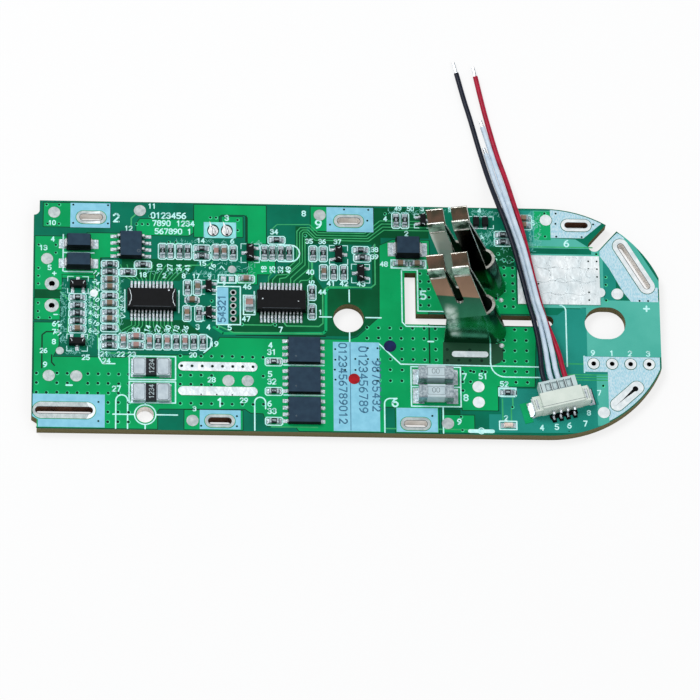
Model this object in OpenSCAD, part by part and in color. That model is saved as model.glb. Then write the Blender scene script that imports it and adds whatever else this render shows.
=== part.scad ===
// Battery management board with two spring terminal clips and a four-wire lead.
// Origin: middle of the board, at its underside. +X runs to the rounded end,
// +Y to the long edge that the lead leaves over, +Z up. Millimetres.

/* [Board] */
// Length of the board, square end to rounded end
board_l = 110; // [109.6:0.2:111]
// Width of the board
board_w = 43.6; // [43.4:0.2:44.6]
// Thickness of the laminate
board_t = 2; // [1.6:0.1:2.4]
// How far the centre of the end radius lies short of the end
end_inset = 20; // [19.4:0.2:20.6]
// Thickness of a printed field or an ink dot
print_t = 0.03; // [0.02:0.01:0.05]
// Thickness of a tinned land
land_t = 0.08; // [0.06:0.01:0.1]
// Thickness of the plating inside a plated hole or slot
plate_t = 0.06; // [0.04:0.01:0.08]

/* [Holes] */
// Diameter of the front fixing hole
fixing_d = 3; // [2.6:0.1:3.3]
// Diameter of the middle hole
middle_d = 5.4; // [4.8:0.1:5.8]
// Length of the oval hole at the rounded end
oval_l = 7.2; // [6.4:0.1:7.6]
// Width of the oval hole at the rounded end
oval_w = 6.1; // [5.4:0.1:6.3]
// Width of the L-shaped slot
ell_w = 2; // [1.6:0.1:2.2]
// Width of the notch in the rounded end
notch_w = 2.2; // [1.8:0.1:2.4]
// Diameter of the two charge wire holes
charge_d = 1.05; // [0.9:0.05:1.2]
// Diameter of the four signal wire holes
signal_d = 0.85; // [0.7:0.05:0.95]
// Spacing of the four signal wire holes
signal_pitch = 3.25; // [3.1:0.05:3.25]
// Diameter of the five programming holes
prog_d = 0.7; // [0.6:0.05:0.75]

/* [Battery slots] */
// Length of a cell tab slot
tab_slot_l = 4; // [3.6:0.1:4.2]
// Width of a cell tab slot
tab_slot_w = 1.2; // [0.9:0.1:1.3]
// Length of the two main battery slots
main_slot_l = 9.9; // [9:0.1:10]
// Width of the two main battery slots
main_slot_w = 1.2; // [0.9:0.1:1.4]
// Width of the tinned rim round a cell tab slot
tab_rim = 0.62; // [0.5:0.02:0.64]

/* [Terminal clips] */
// Thickness of the spring sheet
sheet_t = 0.5; // [0.4:0.05:0.6]
// Width of a clip over its two walls
clip_span = 5; // [4.8:0.1:5.2]
// Place of the clip's bend along the clip, at the board
clip_flat = 7.9; // [7.8:0.1:8.2]
// Height of the clip body below the fingers
clip_body = 5.5; // [5.2:0.1:5.7]
// Length of a finger from the body to the pinch
finger_h = 9.5; // [9:0.1:10]
// Width of one finger
finger_w = 2.85; // [2.7:0.05:2.95]
// Gap between the two fingers of a wall
finger_gap = 1.4; // [1.1:0.05:1.5]
// Gap left between the facing fingers at the pinch
pinch_gap = 0.75; // [0.5:0.05:1.1]
// Length of the lip above the pinch
lip_l = 2.7; // [2.4:0.1:3]
// Flare of the front lips, in degrees
front_flare = 12; // [6:1:20]
// Flare of the rear lips, in degrees
rear_flare = 55; // [45:1:60]
// Lean of the clips towards the rear edge, in degrees
lean_back = 15; // [12:1:18]
// Lean of the clips towards the square end, in degrees
lean_side = 12; // [10:1:14]

/* [Small parts] */
// Length of a chip resistor or capacitor
chip_l = 1.6; // [1.5:0.02:1.64]
// Width of a chip resistor or capacitor
chip_w = 0.8; // [0.7:0.02:0.86]
// Height of a chip resistor
res_h = 0.45; // [0.4:0.05:0.6]
// Height of a chip capacitor
cap_h = 0.75; // [0.6:0.05:0.9]
// Length of the metal end of a chip
chip_end = 0.32; // [0.25:0.01:0.4]
// Thickness of a soldered pad
pad_t = 0.06; // [0.05:0.01:0.08]
// Diameter of a test land
test_d = 2.1; // [1.8:0.1:2.1]

/* [Chips] */
// Length of a controller chip body
ctrl_l = 8.65; // [8.5:0.05:8.8]
// Width of a controller chip body
ctrl_w = 3.9; // [3.7:0.05:4]
// Height of a controller chip body
ctrl_h = 1.4; // [1.2:0.05:1.6]
// Spacing of the controller chip leads
ctrl_pitch = 0.635; // [0.62:0.005:0.645]
// Leads on each side of a controller chip
ctrl_leads = 12; // [10:1:12]
// Length of a power transistor body
mos_l = 5.7; // [5.5:0.05:5.8]
// Width of a power transistor body
mos_w = 4.9; // [4.7:0.05:5]
// Height of a power transistor body
mos_h = 1; // [0.9:0.05:1.2]
// Spacing of the power transistors
mos_pitch = 5.68; // [5.6:0.02:5.7]

/* [Fuses and sense resistors] */
// Length of a ceramic fuse
fuse_l = 6.1; // [5.8:0.1:6.3]
// Width and height of a ceramic fuse
fuse_w = 2.5; // [2.3:0.1:2.7]
// Length of a sense resistor
sense_l = 6.4; // [6.2:0.1:6.6]
// Width of a sense resistor
sense_w = 3.2; // [3:0.1:3.3]
// Height of a sense resistor
sense_h = 0.8; // [0.6:0.1:1]
// Length of the bare black middle of a sense resistor
sense_mid = 1.9; // [1.6:0.1:2.2]

/* [Wire header] */
// Spacing of the header pins
pin_pitch = 1.25; // [1.2:0.01:1.27]
// Width of the header body without its ears
header_w = 7.4; // [7.3:0.05:7.6]
// Depth of the header body
header_d = 2.9; // [2.7:0.1:3]
// Height of the header body
header_h = 3.4; // [3.3:0.05:3.6]
// Wall of the header body
header_wall = 0.35; // [0.3:0.05:0.4]
// Room between the plug and the header on each side
plug_play = 0.05; // [0.03:0.01:0.08]
// Length of the plug that stands out of the header
plug_out = 2.2; // [2:0.1:2.5]
// Turn of the header on the board, in degrees
header_turn = 14.5; // [13:0.5:16]

/* [Lead wires] */
// Diameter of a wire over its insulation
wire_d = 0.9; // [0.8:0.02:0.92]
// Diameter of the bare tinned tip
tip_d = 0.55; // [0.45:0.05:0.6]
// Length of the longest bare tip
tip_l = 2.2; // [1.6:0.1:2.6]

/* [Hidden] */
$fn = 48;
half_l = board_l / 2;
half_w = board_w / 2;
top = board_t;
end_x = half_l - end_inset;
eps = 0.01;
rim_gap = 0.12;
fixing_at = [-35.3, -half_w + 2.85];
middle_at = [0.2, 0];
oval_at = [half_l - 9.7, -0.2];
charge_at = [[-half_l + 3.3, 5.7], [-half_l + 3.3, 1.5]];
charge_rim = 1.25;
signal_x0 = half_l - 11.95;
signal_y = -8;
signal_rim = 1;
prog_at = [-20, 2];
prog_pitch = 1.27;
prog_rim = 0.55;
ell_corner = [11.1, 0];
ell_up = 8.9;
ell_end = 36.2;
// Battery slots: place, turn, length, width, rim past the ends, rim past the sides
tab_slots = [
    [-half_l + 10.05, half_w - 3.15, 0, tab_slot_l, tab_slot_w, tab_rim, tab_rim],
    [-22.35, -half_w + 1.85, 0, tab_slot_l, tab_slot_w, tab_rim, tab_rim],
    [0.4, half_w - 3.05, 0, tab_slot_l, tab_slot_w, tab_rim, tab_rim],
    [11.7, -half_w + 1.85, 0, tab_slot_l, tab_slot_w, tab_rim, tab_rim],
    [half_l - 14.35, half_w - 3.15, 0, tab_slot_l, tab_slot_w - 0.2, tab_rim + 0.05, tab_rim + 0.05]
];
main_slots = [
    [-half_l + 5.65, -half_w + 3.45, 0, main_slot_l, main_slot_w, 0.5, 0.95],
    [half_l - 4.35, half_w - 10.95, -60, main_slot_l, main_slot_w - 0.1, 0.9, 0.85]
];
slots = concat(tab_slots, main_slots);
filled_at = [half_l - 6.25, -half_w + 7.7];
filled_turn = 43;
filled_l = 7.2;
filled_w = 2.4;
pit_along = 2.05;
pit_d = 0.8;
test_at = [
    [-half_l + 3.55, half_w - 2.3], [-half_l + 18.6, half_w - 1.7], [-half_l + 2.4, 10.5],
    [-half_l + 2.95, -half_w + 9.95], [-half_l + 7.7, -half_w + 9.95], [-20.85, -12.3],
    [-17.5, -12.3], [-27.1, -half_w + 1.85], [-4.7, half_w - 2], [17.3, -half_w + 2],
    [22.75, -12.75], [22.75, -15.7], [half_l - 19.7, half_w - 2.25],
    [half_l - 7.4, half_w - 16.35], [half_l - 10.4, -half_w + 4.5]
];
small_test_at = [[-50.2, -7.1], [-44.35, 4], [-20.2, 9]];
small_test_d = 1.4;
bar_y = [-9.7, -14.35];
bar_x = [-29.6, -15.8];
bar_w = 1.68;
solder_t = 0.15;
field_lo = [30.05, 3.2];
field_hi = [44.55, 12.6];
field_t = 0.25;
bead_at = [[-23.5, 16.55], [-21.1, 16.55]];
bead_r = 0.85;
bead_h = 0.4;
// Chip parts, long way along X or along Y
res_x = [
    [-47.2, 3.1], [-47.2, 1.55], [-47.2, 0.05], [-47.2, -1.45], [-41.6, 9.6], [-41.6, 8.1],
    [-41.6, 3.5], [-41.6, 0.35], [-41.6, -2.6], [-41.6, -4.55], [-41.6, -6], [-35.8, 9.6],
    [-38.45, 8.1], [-25.5, 12.9], [-25.5, 11.4], [-12.35, 14.8], [2.45, 13.1], [2.7, 11.6],
    [-12.95, -8.6], [-12.95, -14.2], [-12.95, -19.85], [27.85, -13.8], [27.6, 16.5], [27.6, 15.1]
];
res_y = [
    [-32.4, 12.3], [-31, 12.3], [-29.4, 12.3], [-28, 12.3], [-20, 12.2], [-14.5, 12.3],
    [-13.1, 12.3], [-11.6, 12.3], [-10.15, 12.3], [-5.95, 12.3], [-4.15, 12.3], [-2.35, 8.7],
    [-0.6, 8.7], [-6.2, 4.8], [-6.2, 1.1], [-28, 5.3], [-26, 0.4], [-33.1, -5.1],
    [-29.95, -5.1], [-26.9, -5.1], [-25.3, -5.1], [8.75, 19], [10.3, 19]
];
cap_x = [
    [-47.2, -2.9], [-41.6, 6.6], [-41.6, 5.2], [-41.6, 2.05], [-41.6, -0.95], [-17.75, 7.2],
    [-27.2, 2.95], [-36.95, -4.2], [-36.95, -5.9], [9.4, 10.6], [12.35, 10.6],
    [31.3, 19.75], [31.3, 18.4]
];
cap_y = [
    [-23, 12.3], [-21.6, 12.3], [-4.1, 8.7], [-26.25, 5.4], [-28.1, 0.4], [-39.2, -5],
    [-34.65, -5.1], [-31.55, -5.1], [-28.45, -5.1]
];
big_cap_at = [-17.2, 2.5];
big_cap = [1.25, 2, 0.85];
ctrl_at = [[-34.25, 2.65], [-11.6, 2.7]];
ctrl_reach = 3.05;
driver_at = [-37.95, 13.1];
driver_size = [3.9, 4.9, 1.45];
driver_reach = 3.1;
driver_pitch = 1.27;
mos_at = [-7.65, -6.55];
mos_lead_pitch = 1.27;
sense_at = [[-34.3, -10.15], [-34.3, -14.95]];
fuse_at = [[15.2, -11.05], [15.2, -14.65]];
charge_diode_at = [[-47.1, 13.4], [-47.1, 9.65]];
charge_diode = [4.3, 2.6, 2.1];
surge_at = [10.7, 13.35];
surge_diode = [4.3, 3.6, 2.2];
// Three-lead transistors: place, turn (one lead on the local left), body size
small_q = [
    [-17, 12.2, 0, 1.3, 2.9], [-1.45, 12.15, 180, 1.3, 2.9], [2.4, 8.6, 0, 1.3, 2.9],
    [-47.15, 5.55, -90, 1.3, 2.9], [-47.2, -5.5, 90, 1.3, 2.9],
    [-24.3, 5.5, 0, 1.1, 2], [-24.3, 0.4, 0, 1.1, 2], [13.5, 19, 180, 1.1, 2]
];
small_q_h = 0.95;
small_d_at = [[22.9, 18.9], [24.5, 18.9]];
small_d = [1.1, 1.6, 0.8];
led_at = [27.85, -20];
led = [1.6, 0.8, 0.55];
// The header stands at the middle of its front face, turned on the board
header_at = [37.4, -17.2];
ear_w = 1.3;
ear_h = 2.4;
tab_w = 0.85;
pins = 4;
pin_w = 0.35;
pin_t = 0.25;
pin_out = 1.3;
pin_z = 1.5;
header_back = 0.8;
plug_w = header_w - 2 * header_wall - 2 * plug_play;
plug_z0 = header_wall + plug_play;
plug_z1 = header_h - header_wall - plug_play;
plug_v0 = header_back + plug_play;
plug_v1 = header_d + plug_out;
wire_z = (plug_z0 + plug_z1) / 2;
turn_u = [cos(header_turn), sin(header_turn), 0];
turn_v = [-sin(header_turn), cos(header_turn), 0];
// Clips: place of the lower left end of each clip's middle line
clip_front_at = [16.9, -1.75];
clip_rear_at = [17, 7];
clip_turn = -1;
clip_edge_h = 5.7;
clip_slot_up = 4;
finger_slant = 0.18;
bend_tilt = 6.8;
clip_foot = 5;
pair_w = 2 * finger_w + finger_gap;
pinch_z = clip_body + finger_h;
// Routes of the four wires; the first two points follow the plug
black_rest = [
    [33.4, -6, 4], [32.6, -1, 3.9], [31.8, 2.4, 3.7], [30.6, 8, 3.6], [29.4, 13.2, 3.7],
    [28, 18, 3.7], [26.7, 22.3, 3.1], [25.4, 27.5, 1.5], [24.1, 33, 0.55], [22.5, 39.5, 0.5],
    [21.3, 44, 0.5], [20.1, 49, 0.5]
];
white_b_rest = [
    [34.4, -6, 4], [33.6, -1, 3.9], [32.8, 2.4, 3.7], [31.6, 8, 3.6], [30.4, 13.2, 3.7],
    [29, 18, 3.7], [27.7, 22.3, 3.1], [26.4, 27.5, 1.5], [25.1, 33, 0.55]
];
white_a_rest = [
    [35.5, -6.5, 4.4], [34.3, -1, 4.75], [33.3, 2.4, 4.6], [32.1, 8, 4.5], [30.9, 13.2, 4.6],
    [29.5, 18, 4.55], [28.5, 22.3, 3.6], [27.4, 27.5, 1.7], [26.1, 33, 0.55], [24.6, 38.4, 0.5]
];
red_rest = [
    [36.6, -6.5, 4], [34.7, -1, 3.9], [33.8, 2.4, 3.75], [32.6, 8, 3.7], [31.6, 13.2, 3.7],
    [30.6, 18, 3.6], [29.5, 22.6, 2.9], [28.4, 27.7, 1.5], [27, 33, 0.55], [25.5, 39, 0.5],
    [24.6, 43, 0.5], [23.5, 48.4, 0.5]
];

// ---- shared shapes ----

module stadium(l, w) {
    square([l - w, w], center = true);
    for (s = [-1, 1])
        translate([s * (l - w) / 2, 0])
            circle(d = w);
}

module box2(x0, y0, x1, y1) {
    translate([x0, y0])
        square([x1 - x0, y1 - y0]);
}

module on_top(h = 0) {
    translate([0, 0, top + h])
        children();
}

// A moulded body whose four sides slope in by a little towards the top
module moulded(l, w, h, slope = 0.12) {
    intersection() {
        rotate([90, 0, 0])
            translate([0, 0, -w])
                linear_extrude(2 * w)
                    polygon([[-l / 2, 0], [l / 2, 0], [l / 2, h * 0.4],
                        [l / 2 - slope, h], [-l / 2 + slope, h], [-l / 2, h * 0.4]]);
        rotate([90, 0, 90])
            translate([0, 0, -l])
                linear_extrude(2 * l)
                    polygon([[-w / 2, 0], [w / 2, 0], [w / 2, h * 0.4],
                        [w / 2 - slope, h], [-w / 2 + slope, h], [-w / 2, h * 0.4]]);
    }
}

// A bent lead that leaves the body at y0, foot tip at y1, drawn along +Y
module gull(y0, y1, z, w, t) {
    foot = (y1 - y0) * 0.45;
    translate([-w / 2, 0, 0])
        rotate([90, 0, 90])
            linear_extrude(w)
                polygon([[y0, z - t / 2], [y0 + (y1 - y0) * 0.25, z - t / 2],
                    [y1 - foot - t * 0.4, 0], [y1, 0], [y1, t], [y1 - foot + t * 0.2, t],
                    [y0 + (y1 - y0) * 0.25 + t * 0.6, z + t / 2], [y0, z + t / 2]]);
}

// ---- board ----

module end_disc(inset = 0) {
    intersection() {
        translate([end_x, 0])
            circle(r = half_w - inset, $fn = 96);
        box2(end_x - 1, -half_w, half_l - inset, half_w);
    }
}

module notch_shape(grow = 0) {
    translate([half_l - 11.2, half_w - 7.1])
        rotate(49) {
            circle(d = notch_w + 2 * grow);
            translate([0, -notch_w / 2 - grow])
                square([12, notch_w + 2 * grow]);
        }
}

module board_outline(inset = 0) {
    difference() {
        union() {
            box2(-half_l + inset, -half_w + inset, end_x, half_w - inset);
            end_disc(inset);
        }
        box2(-half_l - 1, half_w - 1.8, -half_l + 1 + inset, half_w + 1);
        translate([-half_l, half_w - 1.8])
            circle(r = 1 + inset);
        polygon([[-half_l - 1, -half_w - 1], [-half_l + 0.95 + inset, -half_w - 1],
            [-half_l + 0.95 + inset, -half_w + 1.7], [-half_l, -half_w + 2.35],
            [-half_l - 1, -half_w + 2.35]]);
        notch_shape(inset);
    }
}

module ell_shape() {
    box2(ell_corner[0] - ell_w / 2, -ell_w / 2, ell_corner[0] + ell_w / 2, ell_up);
    box2(ell_corner[0], -ell_w / 2, ell_end - ell_w / 2, ell_w / 2);
    translate([ell_end - ell_w / 2, 0])
        circle(d = ell_w);
}

module at_slot(s) {
    translate([s[0], s[1]])
        rotate(s[2])
            children();
}

module plain_holes() {
    translate(fixing_at)
        circle(d = fixing_d);
    translate(middle_at)
        circle(d = middle_d, $fn = 64);
    translate(oval_at)
        stadium(oval_l, oval_w);
    ell_shape();
}

module plated_holes(grow = 0) {
    for (s = slots)
        at_slot(s)
            stadium(s[3] + 2 * grow, s[4] + 2 * grow);
    for (p = charge_at)
        translate(p)
            circle(d = charge_d + 2 * grow);
    signal_places()
        circle(d = signal_d + 2 * grow);
    prog_places()
        circle(d = prog_d + 2 * grow);
}

module signal_places() {
    for (i = [0:3])
        translate([signal_x0 + i * signal_pitch, signal_y])
            children();
}

module prog_places() {
    for (i = [-2:2])
        translate([prog_at[0], prog_at[1] + i * prog_pitch])
            children();
}

module circuit_board() {
    color([0.02, 0.6, 0.36])
        linear_extrude(board_t)
            difference() {
                board_outline();
                plain_holes();
                plated_holes(plate_t);
            }
}

// ---- printed fields and ink ----

module fields_2d() {
    box2(-half_l + 0.1, -half_w + 0.3, -half_l + 12.7, -half_w + 6.5);
    box2(-half_l + 6.4, half_w - 5.15, -half_l + 13.4, half_w - 0.4);
    box2(-25.85, -half_w + 0.3, -18.75, -half_w + 3.9);
    box2(-3.5, half_w - 5.15, 4.75, half_w - 0.4);
    box2(8.35, -half_w + 0.3, 15.55, -half_w + 4.85);
    box2(-25.15, 15.15, -19.45, 18.1);
    box2(-22.8, -1.5, -20.85, 5.5);
    box2(-2.6, -half_w + 0.3, 5.5, -4.6);
    box2(signal_x0 - 1.7, -9.55, half_l - 0.3, -6.65);
    translate([half_l, half_w]) {
        polygon([[-18.9, -5.65], [-13.1, -5.65], [-8.8, -1.8], [-9, 1.2], [-18.9, 1.2]]);
        polygon([[-10.3, -7.6], [-7, -4.4], [-6.3, -4.8], [-0.7, -15], [1, -15], [1, -17.8],
            [-5, -17.8], [-6.4, -15.9], [-8.7, -11.4], [-10.3, -9.1]]);
    }
    box2(half_l - 9.5, -half_w - 1.2, half_l + 1, -9.55);
}

module print_fields() {
    color([0.55, 0.82, 0.93])
        on_top()
            linear_extrude(print_t)
                difference() {
                    intersection() {
                        fields_2d();
                        board_outline(0.2);
                    }
                    lands_2d(rim_gap);
                    test_2d(rim_gap);
                    for (p = bead_at)
                        translate(p)
                            circle(r = bead_r + rim_gap);
                }
}

module ink_dots() {
    color([0.6, 0.05, 0.12])
        on_top(print_t)
            translate([1.05, -11.6])
                cylinder(r = 1, h = print_t);
    color([0.05, 0.1, 0.3])
        on_top()
            translate([7.4, -5.25])
                cylinder(r = 1.1, h = print_t);
}

// ---- tinned lands and solder ----

module lands_2d(grow = 0) {
    for (s = slots)
        at_slot(s)
            stadium(s[3] + 2 * (s[5] + grow), s[4] + 2 * (s[6] + grow));
    translate(filled_at)
        rotate(filled_turn)
            stadium(filled_l + 2 * grow, filled_w + 2 * grow);
    for (p = charge_at)
        translate(p)
            circle(r = charge_rim + grow);
    signal_places()
        circle(r = signal_rim + grow);
    prog_places()
        circle(r = prog_rim + grow);
}

module test_2d(grow = 0) {
    for (p = test_at)
        translate(p)
            circle(r = test_d / 2 + grow);
    for (p = small_test_at)
        translate(p)
            circle(r = small_test_d / 2 + grow);
}

module slot_lands() {
    color([0.8, 0.8, 0.8]) {
        for (s = slots) {
            translate([s[0], s[1], 0])
                rotate(s[2])
                    difference() {
                        union() {
                            on_top()
                                linear_extrude(land_t)
                                    stadium(s[3] + 2 * s[5], s[4] + 2 * s[6]);
                            linear_extrude(board_t + eps)
                                stadium(s[3] + 2 * plate_t, s[4] + 2 * plate_t);
                        }
                        translate([0, 0, -1])
                            linear_extrude(board_t + 2)
                                stadium(s[3], s[4]);
                    }
        }
        on_top()
            translate([filled_at[0], filled_at[1], 0])
                rotate(filled_turn)
                    linear_extrude(land_t)
                        difference() {
                            stadium(filled_l, filled_w);
                            translate([pit_along, 0])
                                circle(d = pit_d);
                        }
    }
}

module barrel(d, rim) {
    difference() {
        union() {
            on_top()
                cylinder(r = rim, h = land_t);
            cylinder(d = d + 2 * plate_t, h = board_t + eps);
        }
        translate([0, 0, -1])
            cylinder(d = d, h = board_t + 2);
    }
}

module hole_lands() {
    color([0.85, 0.85, 0.84]) {
        for (p = charge_at)
            translate(p)
                barrel(charge_d, charge_rim);
        signal_places()
            barrel(signal_d, signal_rim);
        prog_places()
            barrel(prog_d, prog_rim);
    }
}

module test_lands() {
    color([0.78, 0.8, 0.8])
        on_top()
            linear_extrude(land_t)
                test_2d();
}

module solder_bars() {
    color([0.92, 0.93, 0.94])
        for (y = bar_y)
            translate([(bar_x[0] + bar_x[1]) / 2, y, top])
                linear_extrude(solder_t)
                    stadium(bar_x[1] - bar_x[0], bar_w);
}

module solder_field() {
    color([0.92, 0.93, 0.94])
        on_top()
            linear_extrude(field_t) {
                box2(field_lo[0], field_lo[1], field_hi[0], field_hi[1]);
                translate([field_hi[0], 5.6])
                    circle(r = 0.9);
            }
}

module solder_beads() {
    color([0.9, 0.91, 0.92])
        for (p = bead_at)
            translate([p[0], p[1], top])
                cylinder(r1 = bead_r, r2 = bead_r * 0.45, h = bead_h);
}

// ---- small parts ----

module chip_pads(l, w) {
    for (s = [-1, 1])
        translate([s * (l / 2 + 0.05), 0])
            square([0.95, w + 0.14], center = true);
}

module pads_2d() {
    for (p = concat(res_x, cap_x))
        translate(p)
            chip_pads(chip_l, chip_w);
    for (p = concat(res_y, cap_y))
        translate(p)
            rotate(90)
                chip_pads(chip_l, chip_w);
    translate(big_cap_at)
        rotate(90)
            chip_pads(big_cap[1], big_cap[0]);
    for (x = [-21.7, -20.3])
        translate([x, 7.15])
            square([0.9, 0.95], center = true);
    for (p = ctrl_at)
        for (i = [0:ctrl_leads - 1])
            for (s = [-1, 1])
                translate([p[0] + (i - (ctrl_leads - 1) / 2) * ctrl_pitch, p[1] + s * 3.05])
                    square([0.36, 1.5], center = true);
    for (i = [0:3])
        for (s = [-1, 1])
            translate([driver_at[0] + s * 2.85, driver_at[1] + (i - 1.5) * driver_pitch])
                square([1.4, 0.62], center = true);
    for (k = [0:2])
        for (i = [0:3])
            translate([mos_at[0], mos_at[1] - k * mos_pitch + (i - 1.5) * mos_lead_pitch]) {
                translate([mos_l / 2 + 0.28, 0])
                    square([0.9, 0.66], center = true);
                translate([-mos_l / 2 - 0.38, 0])
                    square([1.1, 0.66], center = true);
            }
    for (p = sense_at)
        for (s = [-1, 1])
            translate([p[0] + s * 2.45, p[1]])
                square([2.1, 3.5], center = true);
    for (p = fuse_at)
        for (s = [-1, 1])
            translate([p[0] + s * 2.95, p[1]])
                square([2, 2.9], center = true);
    for (p = charge_diode_at)
        for (s = [-1, 1])
            translate([p[0] + s * 2.45, p[1]])
                square([2, 1.75], center = true);
    for (s = [-1, 1])
        translate([surge_at[0] + s * 2.55, surge_at[1]])
            square([1.8, 2.6], center = true);
    for (q = small_q)
        translate([q[0], q[1]])
            rotate(q[2]) {
                translate([-q[3] / 2 - 0.42, 0])
                    square([0.9, 0.6], center = true);
                for (s = [-1, 1])
                    translate([q[3] / 2 + 0.42, s * q[4] * 0.32])
                        square([0.9, 0.55], center = true);
            }
    for (p = small_d_at)
        for (s = [-1, 1])
            translate([p[0], p[1] + s * 0.95])
                square([0.6, 0.7], center = true);
    translate(led_at)
        chip_pads(led[0], led[1]);
    translate(header_at)
        rotate(header_turn) {
            for (i = [0:pins - 1])
                translate([(i - (pins - 1) / 2) * pin_pitch, -0.95])
                    square([0.55, 1.2], center = true);
            for (s = [-1, 1])
                translate([s * (header_w / 2 + ear_w + 0.65), header_d / 2])
                    square([1.5, 3], center = true);
        }
}

module component_pads() {
    color([0.86, 0.87, 0.88])
        on_top()
            linear_extrude(pad_t)
                pads_2d();
}

module chip_core(h) {
    translate([-chip_l / 2 + chip_end, -chip_w / 2, 0])
        cube([chip_l - 2 * chip_end, chip_w, h]);
}

module chip_caps(h) {
    for (s = [-1, 1])
        translate([s * (chip_l - chip_end) / 2, 0, (h + 0.02) / 2])
            cube([chip_end, chip_w + 0.04, h + 0.02], center = true);
}

module resistor_bodies() {
    color([0.1, 0.11, 0.12])
        on_top(pad_t) {
            for (p = res_x)
                translate(p)
                    chip_core(res_h);
            for (p = res_y)
                translate(p)
                    rotate(90)
                        chip_core(res_h);
        }
}

module resistor_ends() {
    color([0.85, 0.86, 0.87])
        on_top(pad_t) {
            for (p = res_x)
                translate(p)
                    chip_caps(res_h);
            for (p = res_y)
                translate(p)
                    rotate(90)
                        chip_caps(res_h);
        }
}

module capacitor_bodies() {
    color([0.62, 0.5, 0.38])
        on_top(pad_t) {
            for (p = cap_x)
                translate(p)
                    chip_core(cap_h);
            for (p = cap_y)
                translate(p)
                    rotate(90)
                        chip_core(cap_h);
            translate([big_cap_at[0], big_cap_at[1], big_cap[2] / 2])
                cube([big_cap[0], big_cap[1] - 0.9, big_cap[2]], center = true);
        }
}

module capacitor_ends() {
    color([0.85, 0.86, 0.87])
        on_top(pad_t) {
            for (p = cap_x)
                translate(p)
                    chip_caps(cap_h);
            for (p = cap_y)
                translate(p)
                    rotate(90)
                        chip_caps(cap_h);
            for (s = [-1, 1])
                translate([big_cap_at[0], big_cap_at[1] + s * (big_cap[1] / 2 - 0.225), big_cap[2] / 2])
                    cube([big_cap[0] + 0.04, 0.45, big_cap[2]], center = true);
        }
}

// ---- chips ----

module controller_chips() {
    color([0.09, 0.09, 0.11])
        for (p = ctrl_at)
            translate([p[0], p[1], top + pad_t + 0.1])
                moulded(ctrl_l, ctrl_w, ctrl_h);
}

module controller_leads() {
    color([0.88, 0.88, 0.9])
        for (p = ctrl_at)
            for (i = [0:ctrl_leads - 1])
                for (s = [0, 180])
                    translate([p[0] + (i - (ctrl_leads - 1) / 2) * ctrl_pitch, p[1], top + pad_t])
                        rotate(s)
                            gull(ctrl_w / 2, ctrl_reach, 0.5, 0.25, 0.18);
}

module driver_chip() {
    color([0.13, 0.17, 0.24])
        translate([driver_at[0], driver_at[1], top + pad_t + 0.1])
            moulded(driver_size[0], driver_size[1], driver_size[2]);
}

module driver_leads() {
    color([0.88, 0.88, 0.9])
        for (i = [0:3])
            for (s = [90, -90])
                translate([driver_at[0], driver_at[1] + (i - 1.5) * driver_pitch, top + pad_t])
                    rotate(s)
                        gull(driver_size[0] / 2, driver_reach, 0.55, 0.42, 0.2);
}

module power_transistors() {
    color([0.2, 0.27, 0.35])
        for (k = [0:2])
            translate([mos_at[0], mos_at[1] - k * mos_pitch, top + pad_t])
                moulded(mos_l, mos_w, mos_h, 0.1);
}

module power_transistor_leads() {
    color([0.88, 0.88, 0.9])
        for (k = [0:2])
            for (i = [0:3])
                for (s = [-1, 1])
                    translate([mos_at[0] + s * (mos_l / 2 + 0.12),
                        mos_at[1] - k * mos_pitch + (i - 1.5) * mos_lead_pitch, top + pad_t + 0.125])
                        cube([0.24, 0.5, 0.25], center = true);
}

module sense_resistor_cores() {
    color([0.08, 0.09, 0.1])
        for (p = sense_at)
            translate([p[0], p[1], top + pad_t + sense_h / 2])
                cube([sense_mid, sense_w, sense_h], center = true);
}

module sense_resistor_ends() {
    end_l = (sense_l - sense_mid) / 2;
    color([0.75, 0.78, 0.8])
        for (p = sense_at)
            for (s = [-1, 1])
                translate([p[0] + s * (sense_l - end_l) / 2, p[1], top + pad_t + sense_h / 2 + 0.02])
                    cube([end_l, sense_w + 0.06, sense_h + 0.04], center = true);
}

module fuse_bodies() {
    color([0.8, 0.83, 0.82])
        for (p = fuse_at)
            translate([p[0], p[1], top + pad_t + fuse_w / 2 + 0.05])
                cube([fuse_l - 3, fuse_w - 0.1, fuse_w - 0.1], center = true);
}

module fuse_caps() {
    color([0.82, 0.84, 0.85])
        for (p = fuse_at)
            for (s = [-1, 1])
                translate([p[0] + s * (fuse_l - 1.5) / 2, p[1], top + pad_t + fuse_w / 2])
                    rotate([0, 90, 0])
                        linear_extrude(1.5, center = true)
                            difference() {
                                square([fuse_w, fuse_w], center = true);
                                for (a = [45:90:315])
                                    rotate(a)
                                        translate([fuse_w * 0.707, 0])
                                            square([0.3, 1], center = true);
                            }
}

module charge_diodes() {
    color([0.16, 0.19, 0.25])
        for (p = charge_diode_at)
            translate([p[0], p[1], top + pad_t + 0.12])
                moulded(charge_diode[0], charge_diode[1], charge_diode[2] - 0.12, 0.18);
}

module surge_diode() {
    color([0.2, 0.27, 0.35])
        translate([surge_at[0], surge_at[1], top + pad_t + 0.12])
            moulded(surge_diode[0], surge_diode[1], surge_diode[2] - 0.12, 0.2);
}

// A strip that lies on the pad and turns up the end of the diode body
module diode_tab(l, w, h) {
    for (s = [0, 180])
        rotate(s)
            translate([l / 2, w / 2, 0])
                rotate([90, 0, 0])
                    linear_extrude(w)
                        polygon([[-0.9, 0], [0.45, 0], [0.45, 0.12], [0.18, 0.3], [0.18, h],
                            [0, h], [0, 0.12], [-0.9, 0.12]]);
}

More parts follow.
